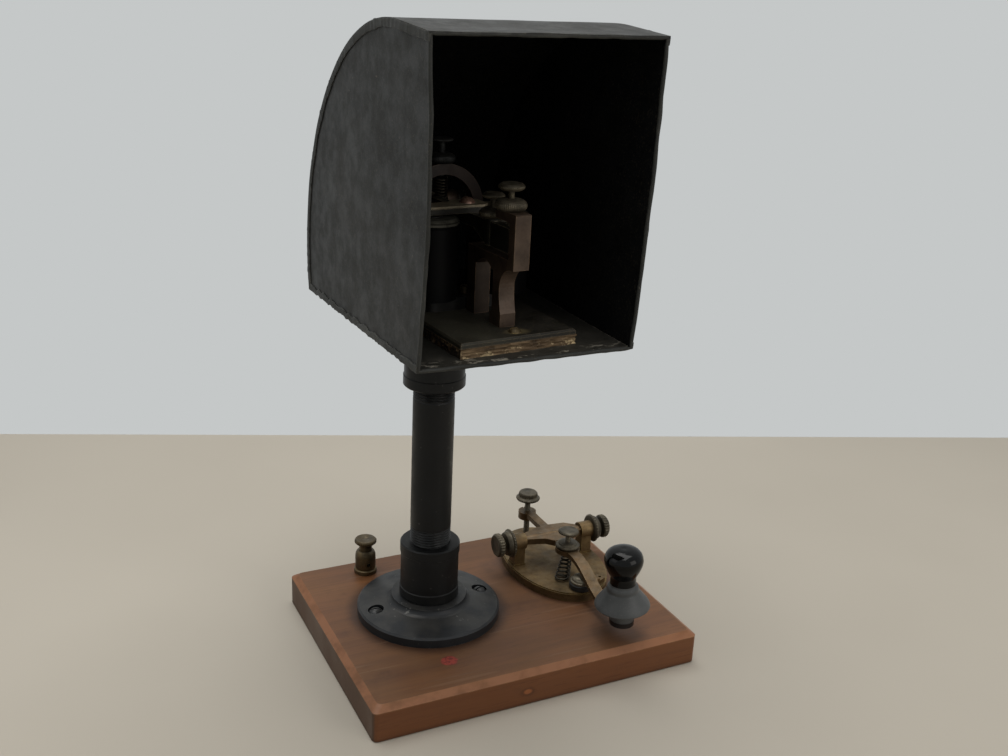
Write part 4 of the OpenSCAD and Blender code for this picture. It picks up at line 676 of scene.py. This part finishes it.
WALLS = {-1: (-101, 2.5), 1: (28, 6)}    # x at the floor and how far the top leans to the right


def wall_x(side, z):
    x, lean = WALLS[side]
    return x + lean * (z - Z_FLOOR) / H_H


def bow(side, y, z):
    """How the hand-made walls leave the straight line."""
    t = min(1, max(0, (z - Z_FLOOR) / H_H))
    front = max(0, 1 - (y - HF) / 130)
    d = math.sin(math.pi * t) ** 1.1 * (2.6 if side < 0 else 1.6) * front * front
    d += 0.55 * fbm((y * 0.021 + side * 7, z * 0.021, 3.1), 2) * math.sin(math.pi * t) ** 0.5
    return d


def outline(s, inset=0.0):
    """Point (y, z) and outward normal on the hood's curve; s = 0 at the rear corner, 1 at the mouth."""
    arc = (H_A1 - H_A0) * H_R
    end = Vector((H_CY + H_R * math.cos(H_A1), H_CZ + H_R * math.sin(H_A1)))
    mouth = Vector((HF, Z_FLOOR + H_H))
    line = (mouth - end).length
    d = s * (arc + line)
    if d <= arc:
        a = H_A0 + d / H_R
        n = Vector((math.cos(a), math.sin(a)))
        p = Vector((H_CY, H_CZ)) + n * H_R
    else:
        n = Vector((math.cos(H_A1), math.sin(H_A1)))
        p = end + (mouth - end) * ((d - arc) / line)
    return p - n * inset, n


def hood_top_z(y, inset):
    """Heights (low, high) of the inset outline at y."""
    r = H_R - inset
    end_y = H_CY + H_R * math.cos(H_A1)
    if y < end_y:
        high = Z_FLOOR + H_H - inset / math.sin(H_A1) - (y - HF) * math.cos(H_A1) / math.sin(H_A1)
    else:
        high = H_CZ + math.sqrt(max(0, r * r - (y - H_CY) ** 2))
    rear = H_CY + r * math.cos(math.asin((H_LOW - H_CZ) / r))
    if y <= rear:
        low = Z_FLOOR - 5.5 * (y - HF) / (rear - HF)
    else:
        low = H_CZ - math.sqrt(max(0, r * r - (y - H_CY) ** 2))
    return low, high


def side_sheet(side):
    y_end = H_CY + H_R - 1.0

    def fn(u, v):
        y = HF + 1.2 + (y_end - HF - 1.2) * math.sin(math.pi / 2 * u)
        low, high = hood_top_z(y, 1.0)
        z = low + (high - low) * v
        x = wall_x(side, z) - side * 0.8 + bow(side, y, z)
        n = Vector((side, 0, 0))
        return Vector((x, y, z)), n
    return sheet_grid(fn, 64, 48, 0.95)


def hood_split(verts_faces, name, replaces=(), inside=None):
    """Outer faces get the paint, faces that look into the hood a darker copy of it: painted shade inside the hood."""
    verts, faces = verts_faces
    obj = make(name, verts, faces, MATS["hood_paint"], "stand", "hood_paint", replaces, smooth=40)
    obj.data.materials.append(MATS["hood_inside"])
    if inside:
        for p in obj.data.polygons:
            if inside(p.center, p.normal):
                p.material_index = 1
    return obj


def back_sheet():
    def fn(u, v):
        p, n = outline(u)
        z = p.y
        xl = wall_x(-1, z) + bow(-1, p.x, z) + 0.15
        xr = wall_x(1, z) + bow(1, p.x, z) - 0.15
        x = xl + (xr - xl) * v
        d = 0.5 * fbm((x * 0.018, u * 5.0, 9.0), 2) * math.sin(math.pi * v) ** 0.6 - 0.2
        d -= 1.2 * math.exp(-((u - 0.93) / 0.05) ** 2) * math.sin(math.pi * v) ** 1.5
        q = Vector((x, p.x, p.y)) + Vector((0, n.x, n.y)) * min(0.0, d)
        return q, Vector((0, n.x, n.y))
    return sheet_grid(fn, 110, 44, 0.95)


def seam(side):
    """The folded, beaten edge of the curved sheet: a lumpy strip over the side wall."""
    rows, cols = 240, 14
    verts = []
    for i in range(rows + 1):
        s = i / rows
        p, n = outline(s)
        lump = fbm((s * 22, side * 3.0, 1.0), 3)
        lump2 = fbm((s * 60, side * 5.0, 7.0), 2)
        width = 4.6 + 1.4 * lump + 0.8 * lump2
        thick = 0.85 + 0.6 * abs(lump2)
        proud = 0.7 * lump + 0.5 * lump2 - 0.45
        for k in range(cols):
            a = 2 * math.pi * k / cols
            ca, sa = math.cos(a), math.sin(a)
            across = -width / 2 + width / 2 * math.copysign(abs(ca) ** 0.5, ca)
            out = 0.45 * thick + 0.55 * thick * math.copysign(abs(sa) ** 0.6, sa)
            q = p + n * (across + proud)
            x = wall_x(side, q.y) + bow(side, q.x, q.y) + side * (out - 0.85)
            verts.append(Vector((x, q.x, q.y)))
    faces = ring_faces(rows + 1, cols)
    faces += [tuple(range(cols)), tuple(range(rows * cols, (rows + 1) * cols))]
    return verts, faces


def bottom_hem(side):
    rows, cols = 120, 12
    verts = []
    y0 = HF + 0.6
    y1 = H_CY + H_R * math.cos(H_A0) - 1.0
    for i in range(rows + 1):
        y = y0 + (y1 - y0) * i / rows
        lump = fbm((y * 0.12, side * 2.0, 4.0), 3)
        z = hood_top_z(min(y, y1 - 0.1), 1.0)[0]
        h = 3.9 + 1.3 * lump
        wave = 0.9 * fbm((y * 0.2, side * 4.0, 8.0), 2) - 0.2
        for k in range(cols):
            a = 2 * math.pi * k / cols
            up = h / 2 + h / 2 * math.copysign(abs(math.cos(a)) ** 0.5, math.cos(a)) + 0.3 * lump
            out = 0.4 + 0.55 * math.copysign(abs(math.sin(a)) ** 0.6, math.sin(a))
            zz = z + max(0.0, up) + wave
            verts.append(Vector((wall_x(side, zz) + bow(side, y, zz) + side * (out - 0.8), y, zz)))
    faces = ring_faces(rows + 1, cols)
    faces += [tuple(range(cols)), tuple(range(rows * cols, (rows + 1) * cols))]
    return verts, faces


def rim_loop():
    """Folded edge round the mouth, along its four bowed sides."""
    lo, hi = Z_FLOOR + 0.4, Z_FLOOR + H_H - 1.2
    n = 40

    def at(side, z):
        return Vector((wall_x(side, z) + bow(side, HF, z) - side * 1.2, HF + 1.25, z))
    left = [at(-1, lo + (hi - lo) * i / n) for i in range(n + 1)]
    right_ = [at(1, hi + (lo - hi) * i / n) for i in range(n + 1)]
    a, b = left[-1], right_[0]
    top = [a.lerp(b, i / n) for i in range(1, n)]
    c, d = right_[-1], left[0]
    bottom = [c.lerp(d, i / n) for i in range(1, n)]
    path = left + top + right_ + bottom
    m = len(path)
    sides = 10
    verts = []
    for i, p in enumerate(path):
        t = (path[(i + 1) % m] - path[i - 1]).normalized()
        u = Vector((0, 1, 0))
        w = t.cross(u).normalized()
        r = 1.15 + 0.3 * fbm((i * 0.33, 3.0, 5.0), 2)
        off = w * 0.4 * fbm((i * 0.21, 8.0, 2.0), 2)
        for k in range(sides):
            g = 2 * math.pi * k / sides
            verts.append(p + off + u * (r * math.cos(g)) + w * (r * math.sin(g)))
    return verts, ring_faces(m, sides, close_rows=True)


hood_split(side_sheet(-1), "hood_left_sheet", replaces=("hood_left_side",),
           inside=lambda c, n: n.x > 0.5)
hood_split(side_sheet(1), "hood_right_sheet", replaces=("hood_right_side",),
           inside=lambda c, n: n.x < -0.5)
hood_split(back_sheet(), "hood_back_sheet", replaces=("hood_back",),
           inside=lambda c, n: n.dot(Vector((0, c.y - H_CY * MM, c.z - H_CZ * MM))) < -0.03)
for side, word in ((-1, "left"), (1, "right")):
    for strip, kind in ((seam, "hood_seam_"), (bottom_hem, "hood_hem_")):
        hood_split(strip(side), kind + word).data.materials[0] = MATS["hood_edge"]
hood_split(rim_loop(), "hood_mouth_rim", replaces=("hood_rim",)).data.materials[0] = MATS["hood_edge"]


# ---------------------------------------------------------------- stand pipe with its threads
pipe_lo, pipe_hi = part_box("stand_pipe")[0].z * 1000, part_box("stand_pipe")[1].z * 1000
v, f = turned([(PIPE_BORE_R, pipe_lo), (PIPE_R, pipe_lo), (PIPE_R, pipe_hi), (PIPE_BORE_R, pipe_hi)],
              Matrix.Translation((PIPE_X, PIPE_Y, 0)), segs=PIPE_SEGS, bevel=0.3,
              threads=((pipe_lo + PIPE_IN - 2, pipe_lo + PIPE_IN + 12.5, PIPE_PITCH, PIPE_THREAD),
                       (pipe_hi - PIPE_IN - 9.5, pipe_hi - PIPE_IN + 2, PIPE_PITCH, PIPE_THREAD)))
n = len(v)
turn = 2 * math.pi / PIPE_SEGS
v += [Vector((PIPE_X + PIPE_BORE_R * math.cos(turn * k), PIPE_Y + PIPE_BORE_R * math.sin(turn * k), z))
      for z in (pipe_lo, pipe_hi) for k in range(PIPE_SEGS)]
f += [tuple(n + i for i in face) for face in ring_faces(2, PIPE_SEGS)]
make("threaded_pipe", v, f, MATS["black_pipe"], "stand", "black_pipe", ("stand_pipe",))


# ---------------------------------------------------------------- turned screws and nuts
def screw(name, profile, place, body, node, mat="knurled_brass", knurls=(), threads=()):
    v, f = turned(profile, place, knurls=knurls, threads=threads, bevel=0.22)
    make(name, v, f, MATS[mat], body, "dark_brass", (node,), smooth=30)


def thumb_profile(d, tip, head, head_d, t):
    r, q = d / 2, head_d / 2
    return [(0, tip), (r - 0.5, tip), (r, tip + 0.6), (r, head), (q - 1.6, head + 0.3), (q - 0.3, head + t * 0.3),
            (q, head + t * 0.45), (q, head + t * 0.65), (q - 1.3, head + t - 0.3), (q - 2.4, head + t),
            (q - 3.2, head + t - 0.35), (2.4, head + t - 0.1), (1.2, head + t - 0.3), (0, head + t - 0.3)]


def nut_profile(d, bore, z, t):
    q = d / 2
    return [(bore, z), (q - 1.6, z), (q - 0.3, z + t * 0.2), (q, z + t * 0.35), (q, z + t * 0.55),
            (q - 0.5, z + t * 0.72), (q - 1.8, z + t * 0.88), (4.4, z + t), (bore, z + t), (bore, z + 0.01)]


def stop(name, y, d, tip, head, head_d, t, body, node, teeth=44, mat="knurled_brass"):
    screw(name, thumb_profile(d, tip, head, head_d, t), SND @ Matrix.Translation((0, y, 0)), body, node, mat,
          knurls=((head + t * 0.2, head + t * 0.78, head_d / 2 - 0.7, teeth, 0.2),),
          threads=((tip + 1, head - 0.5, 0.75, 0.22),))


def lock(name, y, d, bore, z, t, body, node, teeth=52, mat="knurled_brass"):
    screw(name, nut_profile(d, bore, z, t), SND @ Matrix.Translation((0, y, 0)), body, node, mat,
          knurls=((z + t * 0.14, z + t * 0.7, d / 2 - 0.8, teeth, 0.2),))


stop("upper_stop_thumb", UPPER_STOP_Y, STOP_D, LEVER1 + 0.04, SLAB + 10.6, 14.5, 4.2,
     "upper_stop", "upper_stop_screw")
lock("upper_stop_lock", UPPER_STOP_Y, 17.6, STOP_D / 2 + TURN_GAP, SLAB + 0.1, 6.4,
     "upper_stop_nut", "upper_stop_nut")
stop("lower_stop_thumb", LOWER_STOP_Y, STOP_D, BED + 39.3 + 1, LEVER1 + 11.8, 12.6, 3.6,
     "lower_stop", "lower_stop_screw")
lock("lower_stop_lock", LOWER_STOP_Y, 15.4, STOP_D / 2 + TURN_GAP, LEVER1 + 1.5, 5.6,
     "lower_stop_nut", "lower_stop_nut")
# the tension screw and its nut take the painted-shade material
stop("tension_thumb", ARCH_Y, TENSION_D, TENSION_TIP, ARCH + 12.2, 13.4, 2.6, "tension", "tension_screw",
     mat="screw_in_painted_shade")
lock("tension_lock", ARCH_Y, 16.4, TENSION_D / 2 + TURN_GAP, ARCH + 0.1, 6.0, "tension_nut", "tension_nut",
     mat="screw_in_painted_shade")

h = STRAP_TOP + 8.2
screw("gap_thumb",
      [(0, 6.24), (1.6, 6.24), (2.2, 7.04), (2.2, h - 2), (2, h - 1.2), (2, h - 0.6), (4.5, h), (8.4, h + 0.8),
       (9, h + 1.6), (9, h + 2.4), (7.8, h + 3), (7, h + 3.4), (7, h + 6.0), (6.2, h + 6.8), (3.2, h + 6.5),
       (1.5, h + 6.8), (0, h + 6.8)],
      KEY @ Matrix.Translation((0, GAP_Y, 0)), "gap_screw", "key_gap_screw",
      knurls=((h + 0.9, h + 2.6, 8.3, 32, 0.34), (h + 3.5, h + 6.2, 6.5, 32, 0.3)),
      threads=((7, h - 2.2, 0.9, 0.28),))
h = STRAP_TOP + 10.8
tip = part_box("key_spring_screw")[0].z * 1000 - T
screw("spring_thumb",
      [(0, tip), (1.9, tip), (1.9, h), (5.6, h + 0.2), (7.3, h + 1), (7.3, h + 1.9), (6, h + 2.8), (4, h + 2.55),
       (1.6, h + 2.9), (0, h + 2.9)],
      KEY @ Matrix.Translation((0, SPRING_Y, 0)), "spring_screw", "key_spring_screw",
      knurls=((h + 0.5, h + 2.3, 6.6, 30, 0.3),), threads=((tip + 0.5, h - 0.6, 0.75, 0.22),))
h = STRAP_TOP + 0.5
screw("spring_lock",
      [(1.97, h), (7.6, h), (8.7, h + 0.9), (8.7, h + 1.6), (7.8, h + 2.4), (6.8, h + 2.5), (6.4, h + 3.7),
       (3.4, h + 4.4), (1.97, h + 4.4), (1.97, h + 0.01)],
      KEY @ Matrix.Translation((0, SPRING_Y, 0)), "spring_nut", "key_spring_nut",
      knurls=((h + 0.5, h + 1.9, 8.0, 34, 0.34),))
for s, word in ((-1, "left"), (1, "right")):
    # a lathe's +Z axis turned to point outwards along the arbor
    place = KEY @ Matrix.Translation((0, 0, ARBOR)) @ Matrix.Rotation(math.radians(90 * s), 4, "Y")
    n0 = 27.3 + 4.8 + 0.1
    n1 = n0 + 5.4
    hd = n1 + 2.8
    tip = 27.3 - 4.8 - 0.1
    screw("trunnion_thumb_" + word,
          [(0, tip + 3), (1.27, tip + 3), (1.27, tip), (3, tip), (3, n1 + 0.4), (4.2, n1 + 0.9), (3.6, hd - 1.6),
           (4.6, hd - 0.4), (7.4, hd), (8.5, hd + 0.8), (8.5, hd + 3.6), (7.3, hd + 4.8), (4.8, hd + 4.3),
           (3.6, hd + 4.1), (0, hd + 4.7)], place, "trunnion_screw_" + word, "trunnion_screw_" + word,
          knurls=((hd + 0.5, hd + 4.2, 7.8, 26, 0.45),))
    screw("trunnion_lock_" + word,
          [(3.07, n0), (9.1, n0), (10.3, n0 + 1), (10.3, n0 + 1.8), (8.9, n0 + 2.3), (8.9, n0 + 3.6), (7.9, n1),
           (3.07, n1), (3.07, n0 + 0.01)], place, "trunnion_nut_" + word, "trunnion_nut_" + word,
          knurls=((n0 + 0.6, n0 + 2.1, 9.6, 30, 0.42),))
for i, word in ((0, "left"), (1, "right")):
    top = 17.4 + 8.6
    screw("line_thumb_" + word,
          [(0, 10.0), (2.5, 10.0), (2.5, 17.5), (4.7, 17.5), (4.6, 19.0), (4.4, top - 4.4), (6.85, top - 3.2),
           (7.75, top - 2.4), (7.75, top - 0.9), (6.85, top), (4.6, top), (2.6, top), (1.6, top - 0.6),
           (0, top - 0.6)],
          Matrix.Translation((-64.4 + 43 * i, 69, T)), "post_screw_" + word, "line_post_screw_" + word,
          mat="dark_brass",
          knurls=((top - 2.9, top - 0.4, 7.0, 36, 0.24),))


# ---------------------------------------------------------------- knob and skirt
pad_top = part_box("key_skirt")[0].z * 1000 - T
skirt_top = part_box("key_skirt")[1].z * 1000 - T
rim = skirt_top - 13.4
knob_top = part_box("key_knob")[1].z * 1000 - T
nut_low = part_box("key_knob")[0].z * 1000 - T
# the knob leans a little to the left, about the top of the strap
KNOB = (KEY @ Matrix.Translation((0, KNOB_Y, pad_top)) @ Matrix.Rotation(math.radians(-3.2), 4, "Y")
        @ Matrix.Translation((0, 0, -pad_top)))
foot = skirt_top + 3.0
bulb = spline([(8.6, foot), (8.5, skirt_top + 4.8), (8.85, skirt_top + 8.4), (10.6, skirt_top + 12.1),
               (12.1, skirt_top + 15.8), (12.8, skirt_top + 19.1), (12.5, skirt_top + 21.9), (11.2, knob_top - 3.5),
               (8.6, knob_top - 1.5), (5.2, knob_top - 0.4)], 5)
knob_profile = ([(0, nut_low), (4.2, nut_low), (4.2, nut_low + 1.4), (2.4, nut_low + 1.4), (2.4, foot)] + bulb
                + [(2.6, knob_top - 0.12), (1.3, knob_top - 0.25), (0, knob_top - 0.3)])
v, f = turned(knob_profile, KNOB, segs=96, bevel=0.2)
make("knob_turned", v, f, MATS["hard_rubber"], "key_lever", "hard_rubber", ("key_knob",), smooth=40)
flare = spline([(18.3, rim + 0.4), (17.4, rim + 2.3), (15.4, rim + 5.0), (13.0, rim + 8.0), (11.3, rim + 10.3),
                (10.6, rim + 11.4), (10.4, rim + 13.0), (9.9, rim + 14.4), (8.9, rim + 15.4), (8.7, foot)], 4)
skirt_profile = ([(2.45, pad_top - 0.5), (7.9, pad_top - 0.5), (7.9, rim + 5.4), (15.4, rim + 0.7), (16.9, rim - 0.2),
                  (17.6, rim - 0.45), (18.2, rim - 0.1)] + flare + [(2.45, foot), (2.45, pad_top - 0.49)])
v, f = turned(skirt_profile, KNOB, segs=96, bevel=0.2)
make("skirt_turned", v, f, MATS["hard_rubber_satin"], "key_lever", "hard_rubber_satin", ("key_skirt",), smooth=40)


# ---------------------------------------------------------------- springs
def coil(name, low, high, r0, r1, wire, turns, stem, body_low, node):
    """Level curls whose middle moves along the line low to high, with upright ends if stem isn't 0."""
    steps = 24 * turns
    z0, z1 = low.z + stem + wire / 2, high.z - stem - wire / 2
    pts = []
    for i in range(steps + 1):
        t = i / steps
        a = 2 * math.pi * i / 24
        c = low.lerp(high, t)
        r = r0 + (r1 - r0) * t
        pts.append(Vector((c.x + r * math.cos(a), c.y + r * math.sin(a), z0 + (z1 - z0) * t)))
    if stem:
        a, b = pts[0], pts[-1]
        pts = ([Vector((a.x, a.y, low.z)), Vector((a.x, a.y, low.z + stem - wire / 2))] + pts
               + [Vector((b.x, b.y, high.z - stem + wire / 2)), Vector((b.x, b.y, high.z))])
    v, f = tube(pts, wire / 2, 10)
    mesh = bpy.data.meshes.new(name)
    mesh.from_pydata([tuple(c * MM for c in q) for q in v], [], f)
    mesh.shade_smooth()
    obj = bpy.data.objects.new(name, mesh)
    bpy.context.scene.collection.objects.link(obj)
    mesh.materials.append(MATS["spring_steel"])
    if body_low == "stand":
        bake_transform(obj)
    else:
        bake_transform(obj)
    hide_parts(node)


coil("key_return_spring", KEY @ Vector((-8.4, SPRING_Y - 9.6, 6.23)),
     KEY @ Vector((0, SPRING_Y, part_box("key_spring")[1].z * 1000 - T)), 4.9, 3.3, 1.3, 6, 0,
     "stand", "key_spring")
coil("sounder_pull_spring", SND @ Vector((0, ARCH_Y, LEVER1 + 0.05)),
     SND @ Vector((0, ARCH_Y, TENSION_TIP - 0.05)), 3.8, 3.8, 0.9, 6, 0.9,
     "sounder_lever", "pull_spring")


# ---------------------------------------------------------------- sounder's chipped wooden base
def chipped_base():
    w, l, t, cx, front = 73.5, 146.0, 5.4, -2.2, -2.8
    nx, ny, nz = 76, 110, 6
    verts, index, faces = [], {}, []

    def vid(i, j, k):
        key = (i, j, k)
        if key not in index:
            x, y, z = -w / 2 + w * i / nx, l * j / ny, t * k / nz
            edge_y = (j == 0) or (j == ny)
            edge_x = (i == 0) or (i == nx)
            d = 0.0
            if edge_x or edge_y:
                f = fbm((x * 0.16, y * 0.16, z * 0.9), 4)
                d = max(0.0, 0.45 + f * 1.1) * (0.55 if k in (0, nz) else 1.0)
            if edge_x:
                x -= math.copysign(d, x)
            if edge_y:
                y += d if j == 0 else -d
            index[key] = len(verts)
            verts.append(SND @ Vector((x + cx, y + front, z)))
        return index[key]
    for i in range(nx):
        for j in range(ny):
            faces.append((vid(i, j, 0), vid(i, j + 1, 0), vid(i + 1, j + 1, 0), vid(i + 1, j, 0)))
            faces.append((vid(i, j, nz), vid(i + 1, j, nz), vid(i + 1, j + 1, nz), vid(i, j + 1, nz)))
    for k in range(nz):
        for i in range(nx):
            faces.append((vid(i, 0, k), vid(i + 1, 0, k), vid(i + 1, 0, k + 1), vid(i, 0, k + 1)))
            faces.append((vid(i, ny, k), vid(i, ny, k + 1), vid(i + 1, ny, k + 1), vid(i + 1, ny, k)))
        for j in range(ny):
            faces.append((vid(0, j, k), vid(0, j, k + 1), vid(0, j + 1, k + 1), vid(0, j + 1, k)))
            faces.append((vid(nx, j, k), vid(nx, j + 1, k), vid(nx, j + 1, k + 1), vid(nx, j, k + 1)))
    return verts, faces


make("sounder_base_wood", *chipped_base(), MATS["sounder_wood"], "stand", "sounder_wood", ("sounder_base",),
     smooth=25)


# ---------------------------------------------------------------- stage and light
fm = Mat("floor", rough=0.6, spec=0.2)
floor_mat = fm.done(fm.ramp(fm.noise(3, 3, 0.5), (0.3, "#beb8ac"), (0.7, "#c5bfb3")))
far = [Vector((-0.2844, 0.4741, 0)), Vector((0.6558, 0.1306, 0))]    # two points of the far edge in the photograph
run = (far[1] - far[0]).normalized()
near = Vector((run.y, -run.x, 0)) * 1.6
ends = (far[0] - run * 0.5, far[1] + run * 0.5)
floor_mesh = bpy.data.meshes.new("floor")
floor_mesh.from_pydata([ends[0] + near, ends[1] + near, ends[1], ends[0]], [], [(0, 1, 2, 3)])
floor = bpy.data.objects.new("floor", floor_mesh)
bpy.context.scene.collection.objects.link(floor)
floor_mesh.materials.append(floor_mat)

world = bpy.data.worlds.new("world")
bpy.context.scene.world = world
world.use_nodes = True
wt = world.node_tree
bg = wt.nodes["Background"]
bg.inputs[0].default_value = lin("#efece6")
bg.inputs[1].default_value = 0.17
seen = wt.nodes.new("ShaderNodeBackground")
seen.inputs[0].default_value = lin("#c5c8c8")
lp = wt.nodes.new("ShaderNodeLightPath")
mx = wt.nodes.new("ShaderNodeMixShader")
pale = lp.outputs["Is Camera Ray"]
for ray in ("Is Glossy Ray", "Is Transmission Ray"):
    add = wt.nodes.new("ShaderNodeMath")
    add.operation = "MAXIMUM"
    wt.links.new(pale, add.inputs[0])
    wt.links.new(lp.outputs[ray], add.inputs[1])
    pale = add.outputs[0]
wt.links.new(pale, mx.inputs[0])
wt.links.new(bg.outputs[0], mx.inputs[1])
wt.links.new(seen.outputs[0], mx.inputs[2])
wt.links.new(mx.outputs[0], wt.nodes["World Output"].inputs[0])


def area(name, place, target, size, power, color="#ffffff"):
    data = bpy.data.lights.new(name, "AREA")
    data.shape = "SQUARE"
    data.size = size
    data.energy = power
    data.color = lin(color)[:3]
    obj = bpy.data.objects.new(name, data)
    obj.location = place
    obj.rotation_euler = (Vector(target) - Vector(place)).to_track_quat("-Z", "Y").to_euler()
    bpy.context.scene.collection.objects.link(obj)


area("ceiling", (-0.1, 0.15, 1.7), (0, 0, 0), 1.5, 24, "#fffdfa")
area("left_fill", (-1.6, 0.1, 0.9), (0, 0, 0.2), 1.0, 1.7, "#fffdfa")
area("front_fill", (0.75, -1.5, 0.75), (0, 0, 0.2), 1.0, 6, "#fffaf3")

bpy.context.scene.view_settings.view_transform = "Standard"
bpy.context.scene.view_settings.exposure = 0
